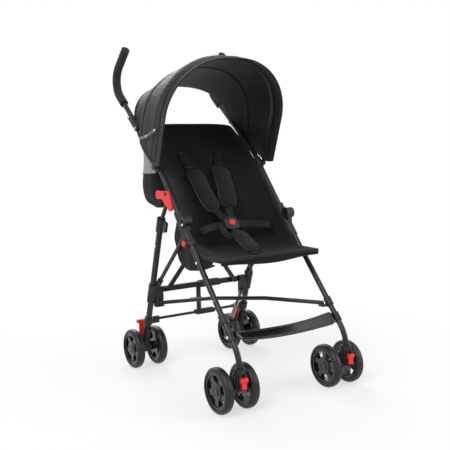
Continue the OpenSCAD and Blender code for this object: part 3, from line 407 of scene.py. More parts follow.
# %% Rubber, foam and steel
def tyre_rubber():
    """Dark moulded tyre with faint rings round it and dust rubbed into the tread."""
    finish, tree, shader = start_finish("tyre_rubber", (0.008, 0.008, 0.0085), 0.4, Specular_IOR_Level=0.4)
    spot = place(tree, "Object")
    dust = clouds(tree, spot, 60.0, 6.0)
    tint(tree, shader, dust, (0.004, 0.004, 0.0045), (0.014, 0.014, 0.0145), 0.35, 0.8)
    dull(tree, shader, dust, 0.3, 0.52)
    bump(tree, shader, bands(tree, spot, 90.0, wander=0.4), 0.0002, 0.35)
    return finish


def foam_rubber():
    """Closed-cell foam: a matt skin of small cells with darker pores."""
    finish, tree, shader = start_finish("foam_rubber", (0.02, 0.02, 0.022), 0.92, Sheen_Weight=0.12,
                                        Sheen_Roughness=0.5, Specular_IOR_Level=0.25)
    spot = place(tree, "Object")
    cells = pores(tree, spot, 520.0)
    tint(tree, shader, cells, (0.006, 0.006, 0.007), (0.024, 0.024, 0.027), 0.1, 0.6)
    dull(tree, shader, clouds(tree, spot, 40.0, 4.0), 0.82, 0.98)
    bump(tree, shader, cells, 0.0006, 0.7)
    return finish


def bright_steel():
    """Zinc-plated steel with fine turned scratches."""
    finish, tree, shader = start_finish("bright_steel", (0.72, 0.72, 0.74), 0.28, Metallic=1.0)
    scratch = clouds(tree, place(tree, "Object", (900, 120, 120)), 2.0, 3.0)
    tint(tree, shader, scratch, (0.55, 0.55, 0.57), (0.82, 0.82, 0.84))
    dull(tree, shader, scratch, 0.2, 0.4)
    bump(tree, shader, scratch, 0.00005, 0.4)
    return finish


TYRE = tyre_rubber()
FOAM = foam_rubber()
STEEL = bright_steel()
print("finishes", [made.name for made in (TYRE, FOAM, STEEL)])

# %% [markdown]
# ### Cloth finishes
# All the cloth is black polyester, and the photo still tells its kinds apart by their gloss: the canopy
# is close woven with a cold sheen, the seat is duller and thicker, webbing has ribs across it and the
# bag's window is an open mesh. Two crossed waves on the UV map make the threads.


# %% Woven cloth
ONE_THREAD = 0.3183


def woven(name, dark, light, threads, depth, roughness, sheen, turn=0.0, mottle=14.0, sheen_colour=(1, 1, 1)):
    """Plain weave: the larger of two crossed waves, with soft patches of wear. The map is scaled to that many
    threads in a metre, and a wave of scale ONE_THREAD repeats about once in a unit of the scaled map."""
    finish, tree, shader = start_finish(name, light, roughness, Sheen_Weight=sheen, Sheen_Roughness=0.45,
                                        Sheen_Tint=(*sheen_colour, 1), Specular_IOR_Level=0.15)
    weave = place(tree, "UV", (threads, threads, threads), (0, 0, turn))
    warp, weft = (bands(tree, weave, ONE_THREAD, direction, 0.5) for direction in "XY")
    threads_up = combined(tree, warp, weft, "MAXIMUM")
    spot = place(tree, "Object")
    patches = clouds(tree, spot, mottle, 6.0)
    tint(tree, shader, combined(tree, patches, threads_up, "MULTIPLY"), dark, light, 0.12, 0.6)
    dull(tree, shader, patches, roughness - 0.1, min(1.0, roughness + 0.1))
    soft = bump(tree, shader, clouds(tree, spot, 38.0, 3.0), 0.0012, 0.35)
    bump(tree, shader, threads_up, depth, 0.6, soft)
    return finish


BLACK_CLOTH = (0.003, 0.003, 0.0035), (0.010, 0.010, 0.011)
BIAS = 0.785
CANOPY = woven("canopy_cloth", (0.005, 0.005, 0.006), (0.013, 0.013, 0.016), threads=5200.0, depth=0.00025,
               roughness=0.55, sheen=0.14, mottle=9.0, sheen_colour=(0.9, 0.9, 1.0))
SEAT = woven("seat_cloth", *BLACK_CLOTH, threads=3600.0, depth=0.0004, roughness=0.78, sheen=0.08)
BAG = woven("bag_cloth", *BLACK_CLOTH, threads=4400.0, depth=0.0003, roughness=0.66, sheen=0.08)
PAD = woven("pad_cloth", *BLACK_CLOTH, threads=2600.0, depth=0.0005, roughness=0.8, sheen=0.10, turn=BIAS)
BINDING = woven("binding_tape", (0.006, 0.006, 0.007), (0.019, 0.019, 0.021), threads=3800.0, depth=0.0004,
                roughness=0.6, sheen=0.14, turn=BIAS)
# pale cord colour: piping on the pads, and a painted highlight along the canopy rim
PIPING_AND_RIM_HIGHLIGHT = woven("pale_piping_and_rim_highlight", (0.035, 0.035, 0.038), (0.085, 0.085, 0.09), threads=3000.0, depth=0.0004,
               roughness=0.6, sheen=0.14, turn=BIAS)
THREAD = woven("sewing_thread", (0.010, 0.010, 0.011), (0.030, 0.030, 0.032), threads=4200.0, depth=0.0003,
               roughness=0.55, sheen=0.1, turn=0.6)
print("cloths", [made.name for made in (CANOPY, SEAT, BAG, PAD, BINDING, PIPING_AND_RIM_HIGHLIGHT, THREAD)])


# %% Webbing and mesh
def ribbed_webbing():
    """Woven strap: close ribs across its length and a fine thread along it."""
    finish, tree, shader = start_finish("ribbed_webbing", (0.012, 0.012, 0.013), 0.7, Sheen_Weight=0.1,
                                        Sheen_Roughness=0.4, Specular_IOR_Level=0.2)
    along = place(tree, "UV")
    ribs = bands(tree, along, 190.0, "Y", 0.3)
    both = combined(tree, ribs, bands(tree, along, 120.0), "MULTIPLY")
    tint(tree, shader, both, (0.004, 0.004, 0.0045), (0.016, 0.016, 0.017), 0.1, 0.9)
    dull(tree, shader, ribs, 0.55, 0.8)
    bump(tree, shader, both, 0.0005, 0.7)
    return finish


def open_mesh():
    """Knitted mesh: pale threads between rows of dark holes, drawn as cells on the UV map."""
    finish, tree, shader = start_finish("open_mesh", (0.3, 0.3, 0.31), 0.75, Sheen_Weight=0.3)
    cells = pores(tree, place(tree, "UV"), 420.0, 0.25)
    tint(tree, shader, cells, (0.05, 0.05, 0.055), (0.40, 0.40, 0.41), 0.22, 0.5)
    dull(tree, shader, cells, 0.6, 0.9)
    bump(tree, shader, cells, 0.0006, 0.6)
    return finish


WEBBING = ribbed_webbing()
MESH = open_mesh()
print("cloths", [made.name for made in (WEBBING, MESH)])

# %% [markdown]
# ### Finishes on the frame
# The nodes of the frame keep their shape. Each is told apart by the slot that the record gives it, so
# one table paints all of them.

# %% Paint the frame
FINISH = {
    "frame_paint": POWDER, "black_plastic": PLASTIC, "gloss_black": GLOSS, "foam": FOAM, "tyre": TYRE,
    "steel": STEEL, "red_plastic": RED, "canopy_cloth": CANOPY, "seat_cloth": SEAT, "bag_cloth": BAG,
    "webbing": WEBBING, "pad_cloth": PAD,
}
for row in frame["record"]["subparts"]:
    for holder in nodes[row["node"]].material_slots:
        holder.material = FINISH[row["material_slot"]]


# %% [markdown]
# ## Which body each soft piece rides on
# When the stroller folds, its left side slides over to the right one and the cloth gathers between them.
# Each soft piece rides on the right side or on the bow, with a mesh of its own. Cloth between the tubes is
# held by their inner faces and the canopy by their outer ones.


def gathers(piece, body="right_side"):
    """The piece rides on a body and gets a mesh of its own."""
    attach(piece, body)
    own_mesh(piece)
    return piece


def rides(piece, body):
    """The piece rides on a body without changing its form."""
    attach(piece, body)
    return piece


# %% [markdown]
# ## Sling seat
# The seat is one long strip of wadded cloth. It hangs between the two side tubes, so its edges follow
# them, and its middle sags: a low lap in front and a back that leans to the handles. A cloth
# simulation would find that sag, but the photo fixes it well, so the rows of the sag are written down
# and a smooth curve is drawn through them. Between the edge and the middle the height follows the
# fourth power of the distance from the middle, as in a hammock drawn up at its sides.

# %% Seat rows from the front edge to the top
SEAT_HALF = 0.168
SEAT_T = 0.0075
SEAT_MIDDLE = np.array([[-176, -80], [-128, -90], [-78, -94], [-14, -90], [42, -72], [72, -32], [92, 22],
                        [122, 80], [164, 144], [214, 214], [284, 300]])*1e-3 + KNUCKLE
SEAT_EDGE = np.array([[-176, -82], [-124, -84], [-72, -76], [-32, -39], [-12, -14], [6, 7], [28, 34],
                      [62, 80], [112, 144], [186, 215], [282, 294]])*1e-3 + KNUCKLE
SEAT_ROWS, SEAT_COLS = 150, 81
LAP_BEND, BACK_MIDDLE, BACK_WIDER = 0.44, 0.75, 0.002


def seat_place(rows, across):
    """Place on the seat: middle + (edge - middle)*|v|^4 on each row, with faint cross folds in the lap
    bend, a soft belly along the back, and a back that is a little wider than the lap."""
    s = np.linspace(0, 1, len(SEAT_MIDDLE))
    middle = smooth_path(SEAT_MIDDLE, rows, s)[:, None]
    edge = smooth_path(SEAT_EDGE, rows, s)[:, None]
    r, v = rows[:, None, None], across[None, :, None]
    yz = middle + (edge - middle)*np.abs(v)**4
    way = unit(np.gradient(middle, axis=0))
    out = np.concatenate([-way[..., 1:], way[..., :1]], -1)
    bend = np.exp(-((r - LAP_BEND)/0.09)**2)
    back = np.exp(-((r - BACK_MIDDLE)/0.2)**2)
    fold = (0.0018*bend*np.sin(95*r + 2.2*v)*(1 - v**2)
            + 0.0016*back*np.sin(9*v + 22*r)*(1 - np.abs(v))
            + 0.0012*np.sin(30*r + 5*v**2)*np.abs(v)**3)
    half = SEAT_HALF + BACK_WIDER*np.clip((r[..., 0] - 0.6)/0.1, 0, 1)
    return at(v[..., 0]*half, yz + out*fold)


print("seat rows", len(SEAT_MIDDLE))

# %% Seat cloth
seat_grid = seat_place(np.linspace(0, 1, SEAT_ROWS), np.linspace(-1, 1, SEAT_COLS))
seat = cloth_panel("seat_sling_cloth", seat_grid, SEAT_T, SEAT, -1.0)
gathers(seat)
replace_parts(seat, "seat_sling")
seat_length = lengths(seat_grid[:, SEAT_COLS//2])[-1]
print("seat", len(seat.data.polygons), "faces, length", round(seat_length, 3))

# %% [markdown]
# ### Edges of the seat
# A raw edge would fray, so the sling is bound all round with a folded tape. The tape is an oval carried
# along the border of the seat's own grid, which keeps it on the cloth wherever the seat bends. At the
# front a short stiffened band, a strip of the same cloth, hangs down from the tape.

# %% Bind the seat and hang the front band
TAPE_W, TAPE_PROUD = 0.011, 0.0022
BAND_DROP, BAND_T = 0.021, 0.0025
border = border_of(seat_grid)
inward = np.concatenate([seat_grid[1, :], seat_grid[1:, -2], seat_grid[-2, -2::-1], seat_grid[-2:0:-1, 1]])
seat_normal = -grid_normals(seat_grid)
border_normal = border_of(seat_normal)
tape_outline = oval(TAPE_W, SEAT_T + TAPE_PROUD, 12, 3.0)
seat_tape = carry("seat_binding", border - border_normal*SEAT_T/2, unit(inward - border), border_normal,
                  tape_outline, BINDING, closed=True)
gathers(seat_tape)

drop = np.linspace(0, 1, 10)[:, None, None]
ripple = 0.004*np.sin(np.linspace(0, 3*np.pi, SEAT_COLS))
hang = np.stack([0*ripple, ripple, np.full(SEAT_COLS, -BAND_DROP)], -1)
fade = (0.5 + 0.5*np.cos(np.pi*np.linspace(-1, 1, SEAT_COLS)*0.5))[:, None]
band_grid = seat_grid[0] + np.array([0, -0.0035, -SEAT_T/2]) + drop*hang*fade
front_band = cloth_panel("seat_front_band", band_grid, BAND_T, SEAT)
gathers(front_band)
print("tape round", round(lengths(border)[-1], 2), "m of edge")

# %% [markdown]
# ### Side panels
# On each side a panel of the same cloth closes the gap between the tube and the low lap. It is sewn to
# the sling along the tube and hangs free at its lower edge, so it is a ruled surface between those two
# curves with a soft outward belly and a few folds that run down from the tube.

# %% Panels between tube and lap
SIDE_HALF, SIDE_X, SIDE_T = 0.166, 0.1622, 0.0022
SIDE_TOP = np.array([[-196, 386], [-138, 400], [-99, 439], [-79, 464], [-61, 485], [-39, 512]])*1e-3
SIDE_FOOT = np.array([[-188, 374], [-132, 357], [-86, 349], [-22, 350], [8, 372], [30, 425], [22, 478]])*1e-3


def side_panel_place(s, w, sign):
    """Place on a side panel: top + w*(foot - top), pushed outward by a belly and by folds."""
    top = smooth_path(SIDE_TOP, len(s))[:, None]
    foot = smooth_path(SIDE_FOOT, len(s))[:, None]
    yz = top + w[None, :, None]*(foot - top)
    belly = 0.00175*np.sin(np.pi*w)
    folds = 0.0016*np.sin(26*s[:, None] + 4*w)*w
    return at(sign*(SIDE_X - 0.006*w**2 + belly + folds), yz)


for word, sign in SIDES:
    grid = side_panel_place(np.linspace(0, 1, 60), np.linspace(0.02, 1, 26), sign)
    panel = cloth_panel("seat_side_panel_" + word, grid, SIDE_T, SEAT, sign)
    gathers(panel)
    hem = cord_along("seat_side_hem_" + word, grid[:, -1], 0.004, BINDING, 0.006)
    gathers(hem)

# %% [markdown]
# ## Canopy
# The canopy is a close-woven cloth pulled over a springy bow in front and clipped to the handles
# behind. Seen from the side it is a triangle between the tube and the bow, seen from the front a round
# arch. It is worked out as a surface of two parameters: t runs from the rear arch to the bow, over its
# width and on to the visor, u runs from one foot over the top to the other. The rear half stays with
# the handles and the front half swings with the bow, so the cloth is sewn from two panels that lie
# over each other at a seam, and the front one slides over the rear one when the bow goes back.

# %% Arches of the canopy
BOW_LEAN = math.radians(20.0)
BOW_UP = np.array([-math.sin(BOW_LEAN), math.cos(BOW_LEAN)])
BOW_BACK = np.array([math.cos(BOW_LEAN), math.sin(BOW_LEAN)])
COVER_X, COVER_RISE, COVER_CORNER, COVER_HEM = 0.2062, 0.3402, 0.1842, 0.007
REAR_X = 0.179
REAR_FOOT = HINGE + 0.2125*UP_HANDLE
REAR_TOP = REAR_FOOT + np.array([0.034, 0.124])
VISOR = 0.030
CANOPY_T, TUCK = 0.0012, -0.0016


def arch_outline(a, half, rise, corner, hem):
    """Half width and height on the bow's arch for a = 1 at its foot and 0 at its top: a straight leg down
    to a = 0.69, a quarter circle down to 0.06 and a short flat top."""
    turn = np.pi/2*np.clip((0.69 - a)/0.63, 0, 1)
    leg = np.clip(1 - (1 - a)/0.31, 0, None)
    flat = np.where(a < 0.06, a/0.06, 1.0)
    x = (half - corner*(1 - np.cos(turn)))*flat
    return x, rise - corner*(1 - np.sin(turn)) - leg*(rise - corner - hem)


print("rear arch from", REAR_FOOT.round(3), "to", REAR_TOP.round(3))


# %% Canopy surface
def canopy_place(t, u, lift=0.0):
    """Place on the canopy: a straight pull between the rear arch, an ellipse, and the bow's arch, with a
    crown that rises between them, shallow folds that fan out from the hinges, hems that hang a little
    slack, and a drooping visor. The lift moves the whole cloth outwards."""
    t, u = np.broadcast_arrays(np.asarray(t, float), np.asarray(u, float))
    a = np.abs(u)
    bow_x, h = arch_outline(a, COVER_X + lift, COVER_RISE + lift, COVER_CORNER + lift, COVER_HEM)
    k = h/COVER_RISE
    arch = np.pi/2*(1 - a)
    back = np.clip(t, 0, 1)
    edge = 0.010*(1 - 2*np.clip(t - 1, 0, 1))
    rear = REAR_FOOT + (REAR_TOP - REAR_FOOT + np.array([0, lift]))*np.sin(arch)[..., None]**0.83
    bow = HINGE + h[..., None]*BOW_UP + edge[..., None]*BOW_BACK
    yz = rear + (bow - rear)*back[..., None]
    taut = np.sin(np.pi*back)
    folds = taut*(0.0009*np.sin(5*np.pi*back + 2*u)*np.exp(-((k - 0.2)/0.3)**2)
                  + 0.0012*np.sin(9*u + 5*back)*k)
    rear_x = (REAR_X + lift)*np.clip(np.cos(arch), 0, 1)**0.83
    x = np.sign(u)*((1 - back)*rear_x + back*bow_x + folds*np.cos(arch) + 0.006*taut*(1 - k))
    lip = np.clip(t - 2, 0, None)*VISOR
    crown = (0.012 + 0.003*np.sin(5*u))*taut*k + folds*np.sin(arch)
    slack = 0.009*taut*a**14
    return at(x, yz + np.stack([0.64*slack - lip, crown - 0.77*slack - 0.25*lip*k], -1))


print("top of the canopy", canopy_place(1.0, 0.0).round(3))

# %% Canopy panels
U = np.concatenate([np.linspace(-1, -0.06, 70), np.linspace(-0.05, 0.05, 7), np.linspace(0.06, 1, 70)])
T_REAR = np.linspace(0, 0.53, 34)
T_FRONT = np.concatenate([np.linspace(0.47, 1, 32), np.linspace(1.2, 2, 6), np.linspace(2.1, 3, 10)])
rear_grid = canopy_place(T_REAR[:, None], U[None, :], TUCK)
front_grid = canopy_place(T_FRONT[:, None], U[None, :])
canopy_rear = cloth_panel("canopy_rear_panel", rear_grid, CANOPY_T, CANOPY)
canopy_front = cloth_panel("canopy_front_panel", front_grid, CANOPY_T, CANOPY)
gathers(canopy_rear)
gathers(canopy_front, "canopy_bow")
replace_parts(canopy_rear, "canopy_cover")
print("canopy", len(canopy_rear.data.polygons) + len(canopy_front.data.polygons), "faces")

# %% [markdown]
# ### Seams and bindings of the canopy
# Three kinds of edge make the photo's canopy readable although it is black on black: the wide binding
# of the front rim with a pale cord that paints its highlight, the narrow tapes of the rear arch, the seam
# and the hems, and rows of stitching beside the bow. Each is a flat oval laid along one line of the surface.


# %% Tapes along lines of the canopy
def canopy_tape(name, t, u, width, height, finish, body, lift=0.0):
    """A flat tape along one line of the canopy, its width in the surface. The surface's normal is the cross
    product of two short steps along it, and the tape sits half the cloth's thickness below it."""
    t, u = np.broadcast_arrays(np.asarray(t, float), np.asarray(u, float))
    path = canopy_place(t, u, lift)
    step = 0.004
    along_t = canopy_place(t + step, u, lift) - canopy_place(t - step, u, lift)
    along_u = canopy_place(t, u + step, lift) - canopy_place(t, u - step, lift)
    normal = unit(np.cross(along_u, along_t))
    way = unit(np.gradient(path, axis=0))
    side = unit(np.cross(normal, way))
    normal = np.cross(way, side)
    tape = carry(name, path - normal*CANOPY_T/2, side, normal, oval(width, height, 12, 3.0), finish)
    return gathers(tape, body)


line = np.linspace(-0.995, 0.995, 150)
on_front = [
    canopy_tape("canopy_rim_binding", 2.93, line, 0.013, 0.0042, BINDING, "canopy_bow"),
    # painted highlight: a pale cord on the visor that stands for the rim's highlight
    canopy_tape("canopy_rim_highlight_cord", 2.62, line, 0.0022, 0.0026, PIPING_AND_RIM_HIGHLIGHT, "canopy_bow", 0.0008),
    canopy_tape("canopy_seam_tape", 0.5, line, 0.009, 0.0026, BINDING, "canopy_bow", 0.0004),
]
on_rear = [canopy_tape("canopy_rear_binding", 0.02, line, 0.010, 0.0036, BINDING, "right_side", TUCK)]
BOW_STITCHES = 0.965, 2.06
for number, t in enumerate(BOW_STITCHES):
    on_front.append(canopy_tape("canopy_bow_stitch_%d" % number, t, line, 0.0012, 0.0014, THREAD,
                                "canopy_bow", 0.0004))
HEM_U = 0.985
rear_hem = np.linspace(0.01, 0.52, 40)
front_hem = np.concatenate([np.linspace(0.48, 1, 40), np.linspace(1.1, 2.9, 20)])
for word, sign in SIDES:
    on_rear.append(canopy_tape("canopy_hem_rear_" + word, rear_hem, sign*HEM_U, 0.009, 0.003, BINDING,
                               "right_side", TUCK))
    on_front.append(canopy_tape("canopy_hem_front_" + word, front_hem, sign*HEM_U, 0.009, 0.003, BINDING,
                                "canopy_bow"))
print("canopy tapes", len(on_front) + len(on_rear))

# %% [markdown]
# ### Canopy bow
# The bow is a springy plastic strip that stands on the two hinge pins. Its solid is right, and cloth and
# bow narrow together when the frame folds; a strip made here takes its place: a rounded
# rectangle carried along the arch, and a flat eye round each pin.

# %% Bow strip
BOW_X, BOW_RISE, BOW_CORNER, BOW_FOOT = 0.199, 0.333, 0.177, 0.006
bow_x, bow_h = arch_outline(np.abs(line), BOW_X, BOW_RISE, BOW_CORNER, BOW_FOOT)
bow_path = at(np.sign(line)*bow_x, HINGE + bow_h[:, None]*BOW_UP)
bow_way = unit(np.gradient(bow_path, axis=0))
bow_side = np.array([0.0, *BOW_BACK])
bow = carry("canopy_bow_strip", bow_path, bow_side, unit(np.cross(bow_way, bow_side)),
            oval(0.016, 0.006, 16, 5.0), PLASTIC)
gathers(bow, "canopy_bow")
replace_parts(bow, "canopy_bow")
print("bow", round(lengths(bow_path)[-1], 3), "m long")

# %% Eyes round the hinge pins
TURNED_SIDES = 24


def turned(name, centres, axis, profile, finish):
    """Discs turned about an axis: each (radius, height) pair of the profile makes a ring round every
    centre, and the first and last pairs close on the axis."""
    centres = np.atleast_2d(np.asarray(centres, float))
    axis = unit(np.broadcast_to(np.asarray(axis, float), centres.shape))
    hint = np.where(np.abs(axis[:, :1]) < 0.9, [[1.0, 0, 0]], [[0, 1.0, 0]])
    side = unit(np.cross(axis, hint))
    up = np.cross(axis, side)
    profile = np.asarray(profile, float)
    rings, count = len(profile), TURNED_SIDES
    angle = np.linspace(0, 2*np.pi, count, endpoint=False)
    ring = np.cos(angle)[:, None]*side[:, None, None] + np.sin(angle)[:, None]*up[:, None, None]
    points = (centres[:, None, None] + profile[None, :, None, :1]*ring
              + profile[None, :, None, 1:]*axis[:, None, None])
    ends = np.stack([centres + profile[0, 1]*axis, centres + profile[-1, 1]*axis], 1)
    each = np.concatenate([points.reshape(len(centres), -1, 3), ends], 1)
    first = np.arange(count)
    faces = grid_quads(rings, count, 0, False, True).tolist()
    faces += fan(rings*count, first) + fan(rings*count + 1, first + (rings - 1)*count, -1)
    size = rings*count + 2
    every = [[v + size*i for v in f] for i in range(len(centres)) for f in faces]
    uv = np.tile(np.linspace(0, 0.02, size)[:, None], (len(centres), 2))
    return make_piece(name, each, every, finish, uv)


EYE = [(0.0045, -0.003), (0.0082, -0.003), (0.009, -0.0022), (0.009, 0.0022), (0.0082, 0.003),
       (0.0045, 0.003)]
eyes = turned("canopy_bow_eyes", at([-BOW_X, BOW_X], [HINGE, HINGE]), (1, 0, 0), EYE, PLASTIC)
gathers(eyes, "canopy_bow")
print("eyes", len(eyes.data.polygons), "faces")

# %% [markdown]
# ## Storage bag
# Behind the seat hangs an open bag. Its rim is held straight, its floor has sagged to the rear, and its
# cloth bulges between the seams. Five plates would look like a box, so the bag is lofted: rounded
# outlines from the rim down to the floor, each leaning from a front line to a rear line that were read
# from the photo, with gathers that fade from the rim and slack folds near the floor.

# %% Bag surface
BAG_FRONT = np.array([[190, 737], [181, 700], [168, 648], [152, 590], [144, 556], [139, 537],
                      [141, 527]])*1e-3
BAG_REAR = np.array([[270, 738], [265, 696], [274, 645], [294, 592], [288, 556], [262, 533],
                     [232, 523]])*1e-3
BAG_HALF, BAG_T = 0.146, 0.002
BAG_ROWS, BAG_COLS = 70, 132


def bag_place(w, angle):
    """Place on the bag for w from the rim to the floor and an angle round it: a rounded rectangle between
    the front and the rear line of that row, its width eased in at the floor, with folds added outward."""
    front = smooth_path(BAG_FRONT, w, np.linspace(0, 1, len(BAG_FRONT)))[:, None]
    rear = smooth_path(BAG_REAR, w, np.linspace(0, 1, len(BAG_REAR)))[:, None]
    c, s = np.cos(angle), np.sin(angle)
    across = np.sign(c)*np.abs(c)**0.42
    back = 0.5 + 0.5*np.sign(s)*np.abs(s)**0.5
    low = w[:, None]
    half = BAG_HALF*(1 - 0.10*low**6) + 0.003*np.sin(np.pi*low)
    gather = 0.0018*np.exp(-low/0.16)*np.sin(46*angle)
    slack = (0.0042*np.exp(-((low - 0.78)/0.17)**2)*np.sin(5*angle + 9*low)
             + 0.002*np.sin(3*angle - 14*low)*low)
    yz = front + (rear - front)*back[None, :, None]
    belly = (gather + slack)[..., None]*np.stack([s, 0*s], -1)[None]
    sag = np.stack([0*back, -0.010*np.sin(np.pi*back)], -1)[None]*(low**3)[..., None]
    return at(across[None]*half + (gather + slack)*c[None], yz + belly + sag)


bag_angle = np.linspace(0, 2*np.pi, BAG_COLS, endpoint=False)
bag_wall = bag_place(np.linspace(0, 1, BAG_ROWS), bag_angle)
floor_middle = bag_wall[-1].mean(axis=0) + np.array([0, 0, -0.009])
close = np.linspace(0, 0.97, 16)[1:, None, None]
bag_floor = bag_wall[-1][None]*(1 - close) + floor_middle*close
bag_floor[..., 2] -= 0.003*np.sin(np.pi*close[..., 0]/2)
bag_outer = np.concatenate([bag_wall, bag_floor])
print("bag", np.ptp(bag_outer, axis=(0, 1)).round(3), "m wide, deep and high")


# %% Bag shell and rim
def lofted_bag(name, outer, thickness, finish):
    """A closed cloth shell from a loft: the outer rows, the same rows moved inwards by the thickness, a
    rounded rim between them, and a small cap that closes each floor."""
    rows, cols, _ = outer.shape
    wrapped = np.concatenate([outer[:, -1:], outer, outer[:, :1]], axis=1)
    normal = grid_normals(wrapped)[:, 1:-1]
    middle = outer.mean(axis=(0, 1))
    normal = normal*np.sign(np.sum(normal*(outer - middle)))
    inner = outer - thickness*normal
    rim = (outer[0] + inner[0])/2 + np.array([0, 0, thickness/2])
    uv = np.stack([run(outer, 1), run(outer, 0)], -1).reshape(-1, 2)
    caps = np.stack([outer[-1].mean(axis=0), inner[-1].mean(axis=0)])
    points = np.concatenate([outer.reshape(-1, 3), inner.reshape(-1, 3), rim, caps])
    uvs = np.concatenate([uv, uv, uv[:cols], uv[-1:], uv[-1:]])
    size, j = rows*cols, np.arange(cols)
    n = (j + 1) % cols
    faces = np.concatenate([
        grid_quads(rows, cols, 0, False, True), grid_quads(rows, cols, size, False, True)[:, ::-1],
        np.stack([j, n, 2*size + n, 2*size + j], -1),
        np.stack([2*size + j, 2*size + n, size + n, size + j], -1)]).tolist()
    last = (rows - 1)*cols + j
    faces += fan(2*size + cols, last) + fan(2*size + cols + 1, size + last, -1)
    return make_piece(name, points, faces, finish, uvs)


bag = lofted_bag("storage_bag_shell", bag_outer, BAG_T, BAG)
gathers(bag)
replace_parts(bag, "storage_bag")
rim_cord = cord_along("storage_bag_rim", bag_wall[0] + np.array([0, 0, 0.001]), 0.007, BINDING, 0.009,
                      front=(0, 0, 1), closed=True)
gathers(rim_cord)
print("bag", len(bag.data.polygons), "faces, rim", round(lengths(bag_wall[0])[-1], 3))

# %% [markdown]
# ### Mesh window
# The upper part of each end of the bag is an open grey mesh, sewn on with a tape. The patch copies a
# field of the bag's own surface and stands about a millimetre outside it.

# %% Mesh windows on both ends
WINDOW_T, WINDOW_PROUD = 0.0008, 0.0012
for word, sign in SIDES:
    centre = np.pi if word == "right" else 0.0
    span = np.linspace(-0.62, 0.62, 30)
    patch = bag_place(np.linspace(0.10, 0.40, 24), centre + span)
    away = unit(patch - np.array([0, patch[..., 1].mean(), patch[..., 2].mean()]))*np.array([1, 0.4, 0])
    patch = patch + WINDOW_PROUD*unit(away)
    window = cloth_panel("bag_window_" + word, patch, WINDOW_T, MESH, sign)
    gathers(window)
    tape = cord_along("bag_window_tape_" + word, border_of(patch), 0.0035, BINDING, 0.007, closed=True)
    gathers(tape)

# %% [markdown]
# ### Loops that hang the bag
# The bag's front corners hang from the handle tubes by loops of webbing: a band round each tube and a
# short tab from the band to the rim. The band is a thin oval carried round a circle that stands square to
# the tube, and it stays with its tube, while the tab rides on the right side with the cloth.

# %% Bands round the tubes and tabs to the rim
LOOP_AT = HINGE + 0.130*UP_HANDLE
LOOP_R = 0.0092
LOOP_OUTLINE = oval(0.018, 0.0016, 12, 5.0)
RIM_CORNER = np.array([0.138, 0.1905, 0.7285])
TAB_SAG = np.array([0, 0.002, -0.003])
along_tube = np.array([0.0, *UP_HANDLE])
across_tube = np.array([0.0, -UP_HANDLE[1], UP_HANDLE[0]])
turn = np.linspace(0, 2*np.pi, 40, endpoint=False)[:, None]
outward = np.cos(turn)*np.array([1.0, 0, 0]) + np.sin(turn)*across_tube
for word, sign in SIDES:
    centre = at(np.asarray(sign*HALF_TRACK), LOOP_AT)
    band = carry("bag_loop_band_" + word, centre + LOOP_R*outward, along_tube, outward, LOOP_OUTLINE, WEBBING,
                 closed=True)
    rides(band, word + "_side")
    corner = RIM_CORNER*[sign, 1, 1]
    from_band = centre - LOOP_R*np.array([sign, 0, 0])
    tab_path = smooth_path([from_band, (centre + corner)/2 + TAB_SAG, corner], 24)
    tab_way = unit(np.gradient(tab_path, axis=0))
    tab_up = unit(np.cross(tab_way, along_tube))
    tab = carry("bag_loop_tab_" + word, tab_path, np.cross(tab_up, tab_way), tab_up, LOOP_OUTLINE, WEBBING)
    gathers(tab)
print("bag loops at", LOOP_AT.round(3))

# %% [markdown]
# ## Footrest
# A glossy strap of soft plastic runs from one front leg to the other. It sags a little under its own
# weight, leans back as a foot would push it and turns up at its ends round the leg clips, so it is a
# flat oval carried along a drooping path that rises at both ends.

# %% Footrest strip
FOOT_CLIP = np.array([-0.3054, 0.2006])
FOOT_TILT = math.radians(24.0)
FOOT_HALF, FOOT_WIDE, FOOT_T = 0.1685, 0.046, 0.0042
strip_x = np.linspace(-FOOT_HALF, FOOT_HALF, 90)
share = strip_x/FOOT_HALF
strip_drop = -0.010*(1 - share**2) + 0.004*np.exp(-((np.abs(share) - 1)/0.06)**2)
strip_path = at(strip_x, FOOT_CLIP + np.stack([0*strip_x, strip_drop], -1))
twist = FOOT_TILT + 0.18*share**3
strip_side = np.stack([0*twist, np.cos(twist), np.sin(twist)], -1)
strip_way = unit(np.gradient(strip_path, axis=0))
strip_up = unit(np.cross(strip_way, strip_side))
wide = FOOT_WIDE - 0.010*np.exp(-((np.abs(share) - 1)/0.05)**2)
outline = np.stack([oval(w, FOOT_T, 24, 3.2) for w in wide])
footrest = carry("footrest_strip", strip_path, strip_side, strip_up, outline, GLOSS)
gathers(footrest)
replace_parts(footrest, "footrest")
for number, place_across in enumerate((-0.32, 0.32)):
    path = strip_path + strip_side*(place_across*wide[:, None]) + strip_up*0.0022
    rib = cord_along("footrest_rib_%d" % number, path[4:-4], 0.0022, GLOSS, 0.0016, (0, 0, 1))
    gathers(rib)
print("footrest", round(lengths(strip_path)[-1], 3), "m long")

# %% [markdown]
# ## Harness
# Five straps meet in a buckle on the lap: two from slots in the seat back, two round the waist and one
# between the legs. The tail of one waist strap hangs loose. A simulated strap twists and stretches, and
# these lie taut, so each is a thin rectangle carried along a drawn path, its flat side kept to the front.
# Places are measured from the buckle: across, up the strap plane, and out to the front.

# %% Strap places
STRAP_TILT = math.radians(39.84)
STRAP_UP = np.array([0.0, math.sin(STRAP_TILT), math.cos(STRAP_TILT)])
STRAP_OUT = np.array([0.0, -math.cos(STRAP_TILT), math.sin(STRAP_TILT)])
LAP_OUT = unit(STRAP_OUT + [0, 0, 0.7])
ACROSS = np.array([1.0, 0.0, 0.0])
STRAP_W, STRAP_T = 0.024, 0.0019


def strap_place(points):
    """Places from (across, up, out) triples measured from the middle of the buckle."""
    p = np.asarray(points, float)
    return at(np.zeros(()), BUCKLE) + p[..., :1]*ACROSS + p[..., 1:2]*STRAP_UP + p[..., 2:]*STRAP_OUT


